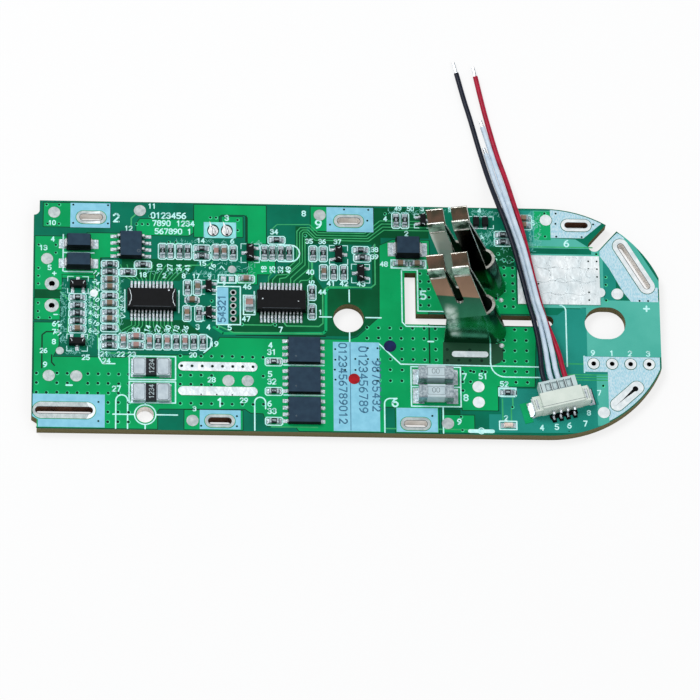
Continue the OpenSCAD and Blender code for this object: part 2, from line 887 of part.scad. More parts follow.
module diode_tabs() {
    color([0.82, 0.84, 0.86]) {
        for (p = charge_diode_at)
            translate([p[0], p[1], top + pad_t])
                diode_tab(charge_diode[0], 1.45, 0.75);
        translate([surge_at[0], surge_at[1], top + pad_t])
            diode_tab(surge_diode[0], 2.1, 0.8);
    }
}

module small_transistors() {
    color([0.1, 0.1, 0.12])
        for (q = small_q)
            translate([q[0], q[1], top + pad_t + 0.06])
                rotate(q[2])
                    moulded(q[3], q[4], small_q_h, 0.08);
}

module small_transistor_leads() {
    color([0.88, 0.88, 0.9])
        for (q = small_q)
            translate([q[0], q[1], top + pad_t])
                rotate(q[2]) {
                    rotate(90)
                        gull(q[3] / 2, q[3] / 2 + 0.6, 0.35, 0.4, 0.14);
                    for (s = [-1, 1])
                        translate([0, s * q[4] * 0.32, 0])
                            rotate(-90)
                                gull(q[3] / 2, q[3] / 2 + 0.6, 0.35, 0.36, 0.14);
                }
}

module small_diodes() {
    color([0.1, 0.1, 0.12])
        for (p = small_d_at)
            translate([p[0], p[1], top + pad_t])
                moulded(small_d[0], small_d[1], small_d[2], 0.06);
}

module status_light() {
    color([0.85, 0.85, 0.75])
        translate([led_at[0], led_at[1], top + pad_t])
            moulded(led[0], led[1], led[2], 0.1);
}

// ---- wire header and plug ----

module at_header() {
    translate([header_at[0], header_at[1], top])
        rotate(header_turn)
            children();
}

module wire_header() {
    cav_w = header_w - 2 * header_wall;
    color([0.86, 0.84, 0.76])
        at_header()
            difference() {
                union() {
                    translate([-header_w / 2, 0, 0])
                        cube([header_w, header_d, header_h]);
                    for (s = [-1, 1])
                        translate([s * (header_w + ear_w) / 2, header_d / 2 + 0.05, ear_h / 2])
                            cube([ear_w + eps, header_d - 0.1, ear_h], center = true);
                }
                translate([-cav_w / 2, header_back, header_wall])
                    cube([cav_w, header_d, header_h - 2 * header_wall]);
                for (i = [0:pins - 1])
                    translate([(i - (pins - 1) / 2) * pin_pitch - pin_w / 2, -1, pin_z])
                        cube([pin_w, header_back + 2, pin_t]);
            }
}

module header_pins() {
    color([0.9, 0.9, 0.88])
        at_header()
            for (i = [0:pins - 1])
                translate([(i - (pins - 1) / 2) * pin_pitch - pin_w / 2, 0, 0])
                    rotate([90, 0, 90])
                        linear_extrude(pin_w)
                            polygon([[header_back, pin_z], [header_back, pin_z + pin_t],
                                [-0.4, pin_z + pin_t], [-0.75, pin_z], [-0.75, pad_t + pin_t],
                                [-pin_out, pad_t + pin_t], [-pin_out, pad_t], [-0.5, pad_t],
                                [-0.5, pin_z - 0.05], [-0.4, pin_z]]);
}

module header_tabs() {
    ear_x = header_w / 2 + ear_w;
    color([0.88, 0.88, 0.88])
        at_header()
            for (s = [0, 1])
                mirror([s, 0, 0])
                    translate([0, header_d - 0.15, 0])
                        rotate([90, 0, 0])
                            linear_extrude(header_d - 0.3)
                                polygon([[ear_x, pad_t], [ear_x + tab_w, pad_t],
                                    [ear_x + tab_w, pad_t + 0.3], [ear_x + 0.35, pad_t + 0.3],
                                    [ear_x + 0.25, 2], [ear_x, 2]]);
}

module wire_plug() {
    color([0.82, 0.85, 0.85])
        at_header()
            difference() {
                translate([-plug_w / 2, plug_v0, plug_z0])
                    cube([plug_w, plug_v1 - plug_v0, plug_z1 - plug_z0]);
                for (i = [0:pins - 1])
                    translate([(i - (pins - 1) / 2) * pin_pitch - 0.45, header_d + 0.25, plug_z1 - 0.35])
                        cube([0.8, 1.5, 1]);
            }
}

// ---- wires ----

function plug_point(i, out) =
    [header_at[0], header_at[1], top + wire_z]
    + turn_u * (i - (pins - 1) / 2) * pin_pitch + turn_v * (plug_v1 + out);

function route(i, rest) = concat([plug_point(i, 0), plug_point(i, 2.2)], rest);

function unit(v) = v / norm(v);

// Point on the smooth curve through the route, u counts route points
function along(p, u) =
    let (n = len(p), k = min(floor(u), n - 2), t = u - k,
        a = k == 0 ? 2 * p[0] - p[1] : p[k - 1], b = p[k], c = p[k + 1],
        d = k + 2 > n - 1 ? 2 * p[n - 1] - p[n - 2] : p[k + 2])
    0.5 * (2 * b + (c - a) * t + (2 * a - 5 * b + 4 * c - d) * t * t
        + (3 * b - a - 3 * c + d) * t * t * t);

module tube(pts, d, sides = 8) {
    n = len(pts);
    ring = [for (i = [0:n - 1])
        let (
            t = unit(i == 0 ? pts[1] - pts[0]
                : i == n - 1 ? pts[i] - pts[i - 1] : pts[i + 1] - pts[i - 1]),
            s = unit(cross(t, [0, 0, 1])),
            w = cross(s, t)
        )
        for (j = [0:sides - 1])
            pts[i] + d / 2 * (s * cos(j * 360 / sides) + w * sin(j * 360 / sides))];
    polyhedron(
        points = ring,
        faces = concat(
            [[for (j = [0:sides - 1]) j]],
            [[for (j = [sides - 1:-1:0]) (n - 1) * sides + j]],
            [for (i = [0:n - 2]) for (j = [0:sides - 1])
                [i * sides + j, (i + 1) * sides + j,
                    (i + 1) * sides + (j + 1) % sides, i * sides + (j + 1) % sides]]
        ));
}

// Rings of a wire: the first two keep the line out of the plug
function rings(p, n) =
    concat([p[0]], [p[1]], [for (i = [1:n]) along(p, 1 + i * (len(p) - 2) / n)]);

black_rings = rings(route(0, black_rest), 18);
white_b_rings = rings(route(1, white_b_rest), 14);
white_a_rings = rings(route(2, white_a_rest), 16);
red_rings = rings(route(3, red_rest), 18);

module wire_black() {
    color([0.06, 0.07, 0.1])
        tube(black_rings, wire_d);
}

module wire_white_a() {
    color([0.85, 0.88, 0.92])
        tube(white_a_rings, wire_d);
}

module wire_white_b() {
    color([0.85, 0.88, 0.92])
        tube(white_b_rings, wire_d);
}

module wire_red() {
    color([0.75, 0.05, 0.12])
        tube(red_rings, wire_d);
}

// A bare tip goes on in the line of the last piece of its wire
module tip(r, l) {
    n = len(r);
    t = unit(r[n - 1] - r[n - 2]);
    tube([r[n - 1], r[n - 1] + t * l], tip_d);
}

module wire_tips() {
    color([0.85, 0.8, 0.75]) {
        tip(black_rings, tip_l);
        tip(red_rings, tip_l * 0.85);
        tip(white_a_rings, tip_l * 0.6);
        tip(white_b_rings, tip_l * 0.6);
    }
}

// ---- spring terminal clips ----

// A strip of sheet between two points, with a round end at each
module strip(a, b) {
    d = b - a;
    translate(a)
        rotate(atan2(d[1], d[0]))
            translate([0, -sheet_t / 2])
                square([norm(d), sheet_t]);
    for (p = [a, b])
        translate(p)
            circle(d = sheet_t, $fn = 24);
}

// Section of one wall, finger and lip; local X is the clip's Y
module wall_section(flare) {
    y0 = -clip_span / 2 + sheet_t / 2;
    y1 = -pinch_gap / 2 - sheet_t / 2;
    strip([y0, -clip_foot], [y0, clip_body]);
    strip([y0, clip_body], [y1, pinch_z]);
    strip([y1, pinch_z], [y1 - lip_l * sin(flare), pinch_z + lip_l * cos(flare)]);
}

// Left edge of a wall: upright on the board at first, then slanting with the fingers
function left_edge(z) = z < clip_edge_h ? z * tan(lean_side)
    : clip_edge_h * tan(lean_side) - finger_slant * (z - clip_edge_h);

// Middle of the bend at a height
function bend_x(z) = clip_flat - z * tan(bend_tilt);

// Side view of one wall with its two fingers
module wall_side(lip_slant) {
    zs = clip_body + clip_slot_up;
    zt = pinch_z + 4;
    xt = left_edge(pinch_z) - lip_slant * 4;
    difference() {
        polygon([[left_edge(-clip_foot), -clip_foot], [left_edge(clip_edge_h), clip_edge_h],
            [left_edge(pinch_z), pinch_z], [xt, zt], [xt + pair_w, zt],
            [left_edge(pinch_z) + pair_w, pinch_z], [left_edge(clip_body) + pair_w, clip_body],
            [bend_x(clip_body), clip_body], [bend_x(-clip_foot), -clip_foot]]);
        translate([finger_w, 0])
            polygon([[left_edge(zs), zs], [left_edge(pinch_z), pinch_z], [xt, zt + 1],
                [xt + finger_gap, zt + 1], [left_edge(pinch_z) + finger_gap, pinch_z],
                [left_edge(zs) + finger_gap, zs]]);
        translate([left_edge(zs) + finger_w + finger_gap / 2, zs])
            circle(d = finger_gap);
    }
}

module clip_wall(flare, lip_slant) {
    intersection() {
        rotate([90, 0, 90])
            translate([0, 0, -6])
                linear_extrude(22)
                    wall_section(flare);
        rotate([90, 0, 0])
            translate([0, 0, -clip_span])
                linear_extrude(3 * clip_span)
                    wall_side(lip_slant);
    }
}

// The round bend that joins the two walls, its axis tilted with the clip's right edge
module clip_bend() {
    intersection() {
        translate([clip_flat, 0, 0])
            rotate([0, -bend_tilt, 0])
                translate([0, 0, -clip_foot - 2])
                    linear_extrude(clip_body + clip_foot + 6)
                        difference() {
                            circle(d = clip_span);
                            circle(d = clip_span - 2 * sheet_t);
                            translate([-clip_span - eps, -clip_span])
                                square([clip_span, 2 * clip_span]);
                        }
        translate([-20, -20, -clip_foot])
            cube([60, 40, clip_body + clip_foot]);
    }
}

module clip_upright() {
    clip_wall(front_flare, 0);
    mirror([0, 1, 0])
        clip_wall(rear_flare, finger_slant);
    clip_bend();
}

module clip_at(place) {
    color([0.6, 0.58, 0.52])
        intersection() {
            translate([place[0], place[1], top])
                rotate([0, 0, clip_turn])
                    rotate([-lean_back, 0, 0])
                        rotate([0, -lean_side, 0])
                            clip_upright();
            translate([0, -50, top])
                cube([60, 100, 40]);
        }
}

module terminal_clip_front() {
    clip_at(clip_front_at);
}

module terminal_clip_rear() {
    clip_at(clip_rear_at);
}

module clip_solder() {
    color([0.9, 0.91, 0.92])
        on_top() {
            translate([21.4, -6.6, 0])
                linear_extrude(solder_t)
                    stadium(6.4, 1.1);
            for (p = [[27, -4.8], [27.05, 3.95]])
                translate(p)
                    cylinder(r1 = 0.45, r2 = 0.25, h = 0.25);
        }
}

// ---- the whole board ----

circuit_board();
print_fields();
ink_dots();
slot_lands();
hole_lands();
test_lands();
solder_bars();
solder_field();
solder_beads();
component_pads();
terminal_clip_front();
terminal_clip_rear();
clip_solder();
controller_chips();
controller_leads();
driver_chip();
driver_leads();
power_transistors();
power_transistor_leads();
sense_resistor_cores();
sense_resistor_ends();
fuse_bodies();
fuse_caps();
charge_diodes();
surge_diode();
diode_tabs();
small_transistors();
small_transistor_leads();
small_diodes();
resistor_bodies();
resistor_ends();
capacitor_bodies();
capacitor_ends();
status_light();
wire_header();
header_pins();
header_tabs();
wire_plug();
wire_black();
wire_white_a();
wire_white_b();
wire_red();
wire_tips();
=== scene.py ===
import math
import random

import bmesh
import bpy
import numpy as np
from mathutils import Matrix, Vector
from mathutils.geometry import delaunay_2d_cdt


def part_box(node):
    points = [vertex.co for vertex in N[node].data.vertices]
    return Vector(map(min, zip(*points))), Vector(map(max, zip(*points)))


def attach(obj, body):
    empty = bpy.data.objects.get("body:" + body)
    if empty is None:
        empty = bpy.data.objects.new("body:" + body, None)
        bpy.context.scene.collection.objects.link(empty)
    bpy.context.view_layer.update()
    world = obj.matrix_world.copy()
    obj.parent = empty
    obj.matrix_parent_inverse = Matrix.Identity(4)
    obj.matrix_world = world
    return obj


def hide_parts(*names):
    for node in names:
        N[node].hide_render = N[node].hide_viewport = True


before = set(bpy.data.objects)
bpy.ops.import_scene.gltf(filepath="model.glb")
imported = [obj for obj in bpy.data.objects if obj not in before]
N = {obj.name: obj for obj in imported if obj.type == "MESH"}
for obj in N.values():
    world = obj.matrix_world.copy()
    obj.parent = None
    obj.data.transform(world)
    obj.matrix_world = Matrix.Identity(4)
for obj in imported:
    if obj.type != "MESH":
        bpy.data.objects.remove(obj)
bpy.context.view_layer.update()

MM = 0.001
TOP = 2.0               # the board's top face, in mm above its underside
PHOTO_PX = 700
FOCAL_PX = 5660         # focal length fitted to the board's corners in the photo
CONTROLLERS = ((-34.25, 2.65), (-11.6, 2.7))
random.seed(7)
scene = bpy.context.scene


# ---- camera

def make_camera():
    az, el, roll = (math.radians(a) for a in (-8.5, 65.8, 8.65))
    back = Vector((math.sin(az) * math.cos(el), -math.cos(az) * math.cos(el), math.sin(el)))
    right = Vector((math.cos(az), math.sin(az), 0))
    up = back.cross(right)
    r = math.cos(roll) * right + math.sin(roll) * up
    u = -math.sin(roll) * right + math.cos(roll) * up
    data = bpy.data.cameras.new("camera")
    data.sensor_width = 36
    data.lens = FOCAL_PX / PHOTO_PX * data.sensor_width
    data.clip_start, data.clip_end = 0.05, 20
    cam = bpy.data.objects.new("camera", data)
    m = Matrix((r, u, back)).transposed().to_4x4()
    m.translation = Vector((0.000518, -0.005209, 0)) + 0.99 * back
    cam.matrix_world = m
    scene.collection.objects.link(cam)
    scene.camera = cam


make_camera()


# ---- materials

def lin(c):
    out = []
    for v in c:
        v /= 255
        out.append(v / 12.92 if v <= 0.04045 else ((v + 0.055) / 1.055) ** 2.4)
    return tuple(out) + (1.0,)


def node(nt, kind, inputs, **settings):
    """A new shader node, with each input set to a value or linked to a socket."""
    n = nt.nodes.new("ShaderNode" + kind)
    for key, value in settings.items():
        setattr(n, key, value)
    for key, value in inputs.items():
        if isinstance(value, bpy.types.NodeSocket):
            nt.links.new(value, n.inputs[key])
        else:
            n.inputs[key].default_value = value
    return n


def surface(name, c1, c2, c3=None, scale=500, detail=4, lo=0.35, hi=0.65, rough=0.5, rough_to=None, metal=0.0,
            bump=0.0, bump_scale=4000, bump_mm=0.03, stretch=(1, 1, 1), bands=False, spec=0.5, glow=0.0):
    """A material of two or three mottled colours, with mottled roughness and a fine bump."""
    m = bpy.data.materials.new(name)
    m.use_nodes = True
    nt = m.node_tree
    b = nt.nodes["Principled BSDF"]
    b.inputs["Metallic"].default_value = metal
    b.inputs["Specular IOR Level"].default_value = spec
    if glow:
        b.inputs["Subsurface Weight"].default_value = glow
        b.inputs["Subsurface Radius"].default_value = (0.0006, 0.0006, 0.0006)
    at = node(nt, "Mapping", {"Scale": stretch, "Vector": node(nt, "TexCoord",
        {}).outputs["Object"]}).outputs[0]

    def noise(s, d):
        return node(nt, "TexNoise", {"Scale": s, "Detail": d, "Vector": at}).outputs["Fac"]

    if bands:
        mottle = node(nt, "TexWave", {"Scale": scale, "Distortion": 3, "Detail": detail, "Vector": at},
                      bands_direction="Z").outputs["Fac"]
    else:
        mottle = noise(scale, detail)
    ramp = node(nt, "ValToRGB", {"Fac": mottle})
    ends = ramp.color_ramp.elements
    ends[0].position, ends[0].color = lo, lin(c1)
    ends[1].position, ends[1].color = hi, lin(c2)
    if c3:
        ends.new((lo + hi) / 2).color = lin(c3)
    nt.links.new(ramp.outputs["Color"], b.inputs["Base Color"])
    rr = node(nt, "MapRange", {"From Min": 0.3, "From Max": 0.7, "To Min": rough,
        "To Max": rough + 0.12 if rough_to is None else rough_to, "Value": noise(scale * 2.3, 3)})
    nt.links.new(rr.outputs["Result"], b.inputs["Roughness"])
    if bump:
        relief = node(nt, "Bump", {"Strength": bump, "Distance": bump_mm * MM, "Height": noise(bump_scale, 3)})
        nt.links.new(relief.outputs["Normal"], b.inputs["Normal"])
    return m


# Key, name, two or three colours and settings of each material
# Painted light and shade in this table: the clips' lip, inner, edge and fold rows, both via rows, the row
# between leads, the pale and teal mask and pale print at the right end, the bright tin and wall, the highlight
# row (besides tab metal), the power parts' side row, the grey line row (besides print), the gap row and the
# shaded mask
MATERIALS = """
mask mask 6,116,90 4,100,76 scale=180 rough=.28 bump=.15 bump_scale=2500 spec=.06
copper mask_over_copper 6,165,96 4,150,86 8,158,92 scale=160 rough=.27 bump=.2 bump_scale=2200 spec=.06
edge laminate_edge 126,120,80 84,72,46 104,98,64 scale=900 bands=1 lo=.2 hi=.8 rough=.7 bump=.6 \
    bump_scale=6000 spec=.2
wall cut_laminate 120,84,62 86,56,40 scale=700 rough=.7 bump=.6 bump_scale=5000 spec=.2 stretch=1,1,.4
print print 140,205,228 128,194,218 scale=900 rough=.55 bump=.3 bump_scale=7000 spec=.15
tin tinned_land 186,196,196 158,170,172 scale=1200 rough=.42 metal=.6 bump=.5 bump_scale=2600 bump_mm=.05
wall_pale plated_wall 250,248,244 232,226,220 scale=500 rough=.5 metal=0 bump=.4
tin_bright tinned_land_bright 238,244,246 216,226,230 scale=900 rough=.4 metal=.4 bump=.5 bump_scale=2000 \
    bump_mm=.05
print_pale print_pale 196,222,232 160,206,222 scale=6000 detail=1 lo=.42 hi=.58 rough=.5 bump=.3 \
    bump_scale=7000 spec=.15 stretch=1,.35,1
solder solder 232,240,244 206,218,224 scale=700 rough=.34 metal=.6 bump=.7 bump_scale=1100 bump_mm=.1
field solder_field 240,246,248 214,226,230 scale=260 rough=.4 metal=.45 bump=.9 bump_scale=520 bump_mm=.22
pads paste_solder 206,220,226 150,168,176 scale=2600 rough=.3 metal=.85 bump=.6 bump_scale=5000 bump_mm=.05
chip chip_resin 8,10,14 4,6,9 scale=1500 rough=.42 bump=.5 bump_scale=14000 bump_mm=.012 spec=.14
power power_resin 40,62,80 34,54,72 scale=900 rough=.5 bump=.5 bump_scale=12000 bump_mm=.015 spec=.12
power_side power_resin_side 18,22,30 12,15,22 scale=900 rough=.5 bump=.5 bump_scale=12000 bump_mm=.015 \
    spec=.12
lead tinned_lead 228,234,238 190,198,206 scale=2500 rough=.22 metal=.95 bump=.3 bump_scale=6000
glaze black_glaze 20,26,34 12,15,22 scale=2500 rough=.28 bump=.3 bump_scale=9000 bump_mm=.01 spec=.25
ends end_metal 190,204,210 132,148,158 scale=2400 rough=.3 metal=.8 bump=.5 bump_scale=5000
sense_ends sense_end_metal 186,199,206 166,180,189 scale=600 rough=.35 metal=.7 bump=.5 bump_scale=2500
fuse fuse_ceramic 190,208,214 176,196,203 scale=800 rough=.35 bump=.3 bump_scale=5000 spec=.3
cap capacitor_ceramic 132,108,88 158,124,120 112,98,82 scale=160 detail=0 rough=.4 bump=.3 \
    bump_scale=9000 bump_mm=.01 spec=.3
led light_resin 236,226,214 214,178,170 scale=1500 rough=.2 glow=.3 bump=.2
header header_plastic 216,226,218 204,216,208 scale=500 rough=.45 bump=.35 bump_scale=6000 spec=.2
plug plug_plastic 196,214,216 184,204,206 scale=500 rough=.45 bump=.35 bump_scale=6000 spec=.2
black_wire black_wire 12,22,42 8,15,32 scale=700 rough=.38 bump=.25 bump_scale=3000 spec=.25
white_wire white_wire 206,222,236 186,206,224 scale=700 rough=.4 bump=.25 bump_scale=3000 spec=.3
red_wire red_wire 172,10,52 146,6,42 scale=700 rough=.38 bump=.25 bump_scale=3000 spec=.25
red_ink red_ink 170,6,24 140,4,18 scale=900 rough=.3 bump=.4 spec=.2
blue_ink blue_ink 10,30,84 8,20,62 scale=900 rough=.3 bump=.4 spec=.2
gap shaded_gap 10,14,14 6,8,9 scale=900 rough=.7 spec=.05
clip_lip spring_lip 130,100,84 78,76,62 scale=300 rough=.2 rough_to=.3 metal=.9 bump=.3 bump_scale=1200
clip_inner spring_inner 46,42,38 26,25,23 scale=300 rough=.3 rough_to=.45 metal=.9 bump=.3 bump_scale=900
clip_edge spring_edge 240,240,234 170,168,158 scale=900 rough=.2 rough_to=.35 metal=.95 bump=.4 \
    bump_scale=2500
clip_fold spring_fold 206,224,214 58,72,62 scale=420 lo=.42 hi=.6 rough=.2 rough_to=.3 metal=.6 bump=.4 \
    bump_scale=2000
dark mask_in_gaps 4,92,54 2,78,44 scale=200 rough=.3 bump=.15 spec=.06
trench mask_trench 2,58,36 2,48,30 scale=300 rough=.35 spec=.12
pale mask_pale 86,182,166 70,170,154 scale=120 rough=.3 bump=.25 bump_scale=1500 spec=.06
teal mask_teal 36,144,130 26,130,116 scale=120 rough=.3 bump=.2 spec=.06
trace mask_over_trace 62,176,112 40,156,94 scale=400 rough=.3 bump=.2 spec=.2
silk print_lines 206,252,250 170,238,236 scale=1500 rough=.5 bump=.4 bump_scale=8000
via via_hole 4,48,32 2,30,22 scale=2000 rough=.4 spec=.1
via_rim via_rim 90,222,168 60,196,140 scale=2000 rough=.3 spec=.06
blue_print print_digits 52,116,146 40,98,130 scale=1500 rough=.5 bump=.3
land_green mask_on_land 18,168,106 10,152,92 scale=200 rough=.3 bump=.2 spec=.06
fine_print fine_print 128,206,196 98,180,170 scale=2500 rough=.5 bump=.3 spec=.15
shine moulding_shine 232,240,244 170,184,192 scale=2500 rough=.3 metal=.5 bump=.3
grey_line shade_line 96,110,118 70,82,90 scale=2500 rough=.4 metal=.3 bump=.3
mark printed_mark 190,208,212 140,160,166 scale=3000 rough=.5 bump=.3
outline thin_outline 70,74,76 48,52,56 scale=2500 rough=.5 bump=.3 spec=.1
lead_gap mask_between_leads 6,46,36 4,32,26 scale=900 rough=.4 bump=.3 spec=.05
bead_field bead_field 150,226,226 126,208,212 scale=900 rough=.45 bump=.3 spec=.15
bead bead_solder 252,252,252 232,236,242 scale=2500 rough=.45 metal=.1 bump=.3
oval bare_mask_oval 14,70,58 8,52,44 scale=900 rough=.4 bump=.3 spec=.15
shade shaded_mask 8,74,46 4,58,34 scale=140 rough=.3 bump=.15 spec=.3
"""
M = {}
for row in MATERIALS.strip().split("\n"):
    key, name, *words = row.split()
    settings = dict(word.split("=") for word in words if "=" in word)
    for word, value in settings.items():
        value = [float(v) for v in value.split(",")]
        settings[word] = value if len(value) > 1 else value[0]
    M[key] = surface(name, *([float(v) for v in word.split(",")] for word in words if "=" not in word),
        **settings)


def calc(nt, op, *values):
    """A math node's result."""
    return node(nt, "Math", dict(enumerate(values)), operation=op).outputs[0]


def step(nt, value, lo, hi):
    """0 below lo, 1 above hi, smooth between; hi below lo turns it round."""
    a, b = (0.0, 1.0) if lo < hi else (1.0, 0.0)
    return node(nt, "MapRange", {"From Min": min(lo, hi), "From Max": max(lo, hi), "To Min": a, "To Max": b,
        "Value": value}, interpolation_type="SMOOTHSTEP").outputs["Result"]


def blend(nt, factor, a, b, how="MIX"):
    return node(nt, "Mix", {"Factor": factor, "A": a, "B": b}, data_type="RGBA",
        blend_type=how).outputs["Result"]


def clip_metal(name, rear):
    """Spring sheet: drawn metal, green at the board and brown at the fingers as painted reflections, with
    painted highlight and shade bands.
    """
    m = surface(name, (255, 255, 255), (222, 226, 224), scale=220, rough=0.1, rough_to=0.22,
                metal=1.0, bump=0.3, bump_scale=700, bump_mm=0.03, stretch=(1, 1, 0.25))
    nt = m.node_tree
    b = nt.nodes["Principled BSDF"]
    mottle = b.inputs["Base Color"].links[0].from_socket
    place = node(nt, "TexCoord", {}).outputs["Object"]
    xyz = node(nt, "SeparateXYZ", {"Vector": place}).outputs
    x, z = xyz["X"], xyz["Z"]
    # Painted reflections by height: green of the board low on the sheet, brown higher on the fingers
    up = node(nt, "MapRange", {"From Min": 0.002, "From Max": 0.022, "Value": z}).outputs["Result"]
    painted_reflection_tone = node(nt, "ValToRGB", {"Fac": up})
    el = painted_reflection_tone.color_ramp.elements
    el[0].position, el[0].color = 0.26, lin((70, 150, 116))
    el[1].position, el[1].color = 0.30, lin((52, 122, 92))
    for at, c in ((0.46, (44, 106, 80)), (0.548, (46, 96, 74)), (0.556, (156, 126, 105)),
        (0.80, (140, 112, 94))):
        el.new(at).color = lin(c)
    color = blend(nt, 1.0, mottle, painted_reflection_tone.outputs["Color"], "MULTIPLY")
    # Distance along the leaning wall from its left edge
    along = calc(nt, "MULTIPLY_ADD", z, 0.208, calc(nt, "ADD", x, -0.01695 - 0.000416))
    # Painted highlight: a pale, less metallic band up the wall near its left edge, broken up by noise
    highlight_blotch = step(nt, node(nt, "TexNoise", {"Scale": 900, "Vector": place}).outputs["Fac"], 0.38, 0.62)
    light = calc(nt, "MULTIPLY", step(nt, along, 0.0009, 0.0017), step(nt, along, 0.0038, 0.0022))
    light = calc(nt, "MULTIPLY", light, calc(nt, "MULTIPLY", step(nt, z, 0.0028, 0.0048),
        step(nt, z, 0.0118, 0.0095)))
    light = calc(nt, "MULTIPLY", light, calc(nt, "MULTIPLY_ADD", highlight_blotch, 0.45, 0.45))
    # Rear clip: its left finger painted pale as a highlight, its right finger painted dark as shade
    if rear:
        fingers = step(nt, z, 0.0075, 0.0095)
        left = calc(nt, "MULTIPLY", step(nt, along, 0.0033, 0.0029), fingers)
        light = calc(nt, "MAXIMUM", light, calc(nt, "MULTIPLY", left, 0.72))
        right = calc(nt, "MULTIPLY", step(nt, along, 0.0034, 0.0038), fingers)
        color = blend(nt, right, color, lin((52, 56, 50)))
    nt.links.new(blend(nt, light, color, lin((206, 226, 216))), b.inputs["Base Color"])
    nt.links.new(calc(nt, "MULTIPLY_ADD", light, -0.85, 1.0), b.inputs["Metallic"])
    return m


M["clip"] = clip_metal("spring_sheet_front", False)
M["clip_rear"] = clip_metal("spring_sheet_rear", True)

NODES_OF = {
    "print": "print_fields", "tin": "slot_lands hole_lands test_lands",
    "solder": "solder_bars solder_beads clip_solder", "field": "solder_field", "pads": "component_pads",
    "clip": "terminal_clip_front", "clip_rear": "terminal_clip_rear",
    "chip": "controller_chips small_transistors small_diodes",
    "lead": "controller_leads driver_leads power_transistor_leads diode_tabs small_transistor_leads "
            "header_pins header_tabs wire_tips",
    "power": "driver_chip power_transistors charge_diodes surge_diode",
    "glaze": "sense_resistor_cores resistor_bodies", "sense_ends": "sense_resistor_ends",
    "fuse": "fuse_bodies", "ends": "fuse_caps resistor_ends capacitor_ends", "cap": "capacitor_bodies",
    "led": "status_light", "header": "wire_header", "plug": "wire_plug",
}


def set_materials(node_name, keys, choose=None):
    """Replaces a CAD node's materials; choose gives a face's index among them."""
    me = N[node_name].data
    me.materials.clear()
    for key in keys:
        me.materials.append(M[key])
    if choose:
        for p in me.polygons:
            p.material_index = choose(p)


for key, names in NODES_OF.items():
    for name in names.split():
        set_materials(name, [key])
# The board: mask on its two faces, bare laminate on its edge and in its unplated holes
set_materials("circuit_board", ["mask", "edge"], lambda p: 0 if abs(p.normal.z) > 0.5 else 1)
set_materials("ink_dots", ["red_ink", "blue_ink"], lambda p: 0 if p.center.x < 0.004 else 1)


def second_material(name, key, test):
    """Gives the faces of a CAD node that pass the test another material."""
    me = N[name].data
    me.materials.append(M[key])
    for p in me.polygons:
        if test(p):
            p.material_index = len(me.materials) - 1


LINING_TOP = 0.00199    # just under the board's top, in m


def is_lining(p):
    return abs(p.normal.z) < 0.5 and p.center.z < LINING_TOP


def pale_slot(p):
    """The two rear-left slots, the front slot near the middle and the right main slot."""
    x, y = p.center.x, p.center.y
    return is_lining(p) and ((y > 0.012 and x < 0.03) or (x > 0.043 and 0 < y < 0.016) or
        (0.005 < x < 0.02 and y < -0.015))


def bright_land(p):
    return ((p.center.x > 0.0195 or abs(p.center.x + 0.0444) < 0.001)
            and (p.center.z > LINING_TOP or p.normal.z > 0.5))


# Hole walls: cut laminate; some slot walls and the fixing hole's wall near white as painted light; the hole
# lands' walls dark as painted shade
second_material("slot_lands", "wall", is_lining)
second_material("slot_lands", "wall_pale", pale_slot)
# Brighter tin on the lands at the right and on one land at the left: painted highlight
for name in ("slot_lands", "test_lands", "hole_lands"):
    second_material(name, "tin_bright", bright_land)
second_material("circuit_board", "wall_pale", lambda p: abs(p.normal.z) < 0.5
                and math.hypot(p.center.x + 0.0353, p.center.y + 0.01895) < 0.0022)
# Print at the right end: a finer grain, and paler as painted glare
second_material("print_fields", "print_pale", lambda p: p.center.x > 0.0355)
second_material("hole_lands", "gap", is_lining)
# The power parts' sides darker than their tops: painted shade
for name in ("power_transistors", "charge_diodes", "surge_diode", "driver_chip"):
    second_material(name, "power_side", lambda p: p.normal.z < 0.6)
second_material("solder_beads", "bead", lambda p: True)

# The clips, in each one's own frame: painted highlight on the bright cut edges, painted shade on the dark inner
# faces, painted reflection on the brown rear lips, painted highlight on the front lips
CLIP_PLACES = {"terminal_clip_front": Vector((16.9, -1.75, TOP)),
               "terminal_clip_rear": Vector((17.0, 7.0, TOP))}
CLIP_LEAN = (Matrix.Rotation(math.radians(-1), 3, "Z") @ Matrix.Rotation(math.radians(-15), 3, "X")
             @ Matrix.Rotation(math.radians(-12), 3, "Y"))
OUTER, INNER, CUT_EDGE, LIP, FOLD = range(5)
for name, place in CLIP_PLACES.items():
    me = N[name].data
    for key in ("clip_inner", "clip_edge", "clip_lip", "clip_fold"):
        me.materials.append(M[key])
    upright = CLIP_LEAN.inverted()
    for p in me.polygons:
        n = upright @ p.normal
        c = upright @ (p.center / MM - place)
        bend = c.x > 7.9 - c.z * math.tan(math.radians(6.8)) + 0.25 and c.z < 5.6
        if bend:
            outside = n.x * (c.x - 7.9) + n.y * c.y > 0
            p.material_index = CUT_EDGE if n.z > 0.7 else (OUTER if outside else INNER)
        elif abs(n.y) < 0.35:
            p.material_index = CUT_EDGE
        elif c.z > 14.9:
            p.material_index = FOLD if c.y < 0 else LIP
        else:
            p.material_index = INNER if n.y * c.y < 0 else OUTER


# ---- cords

def xy(text):
    """Points from text such as "0,1 2.5,3"."""
    return [tuple(float(v) for v in point.split(",")) for point in text.split()]


def paths(text):
    """Polylines from text: points as in xy, with a semicolon between the lines."""
    return [xy(line) for line in text.split(";") if line.strip()]


def add_piece(name, data, key, smooth=False):
    """Links a mesh or curve with its material, as a piece that rides on the board."""
    if smooth:
        data.polygons.foreach_set("use_smooth", [True] * len(data.polygons))
    data.materials.append(M[key])
    obj = bpy.data.objects.new(name, data)
    scene.collection.objects.link(obj)
    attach(obj, "root")
    return obj


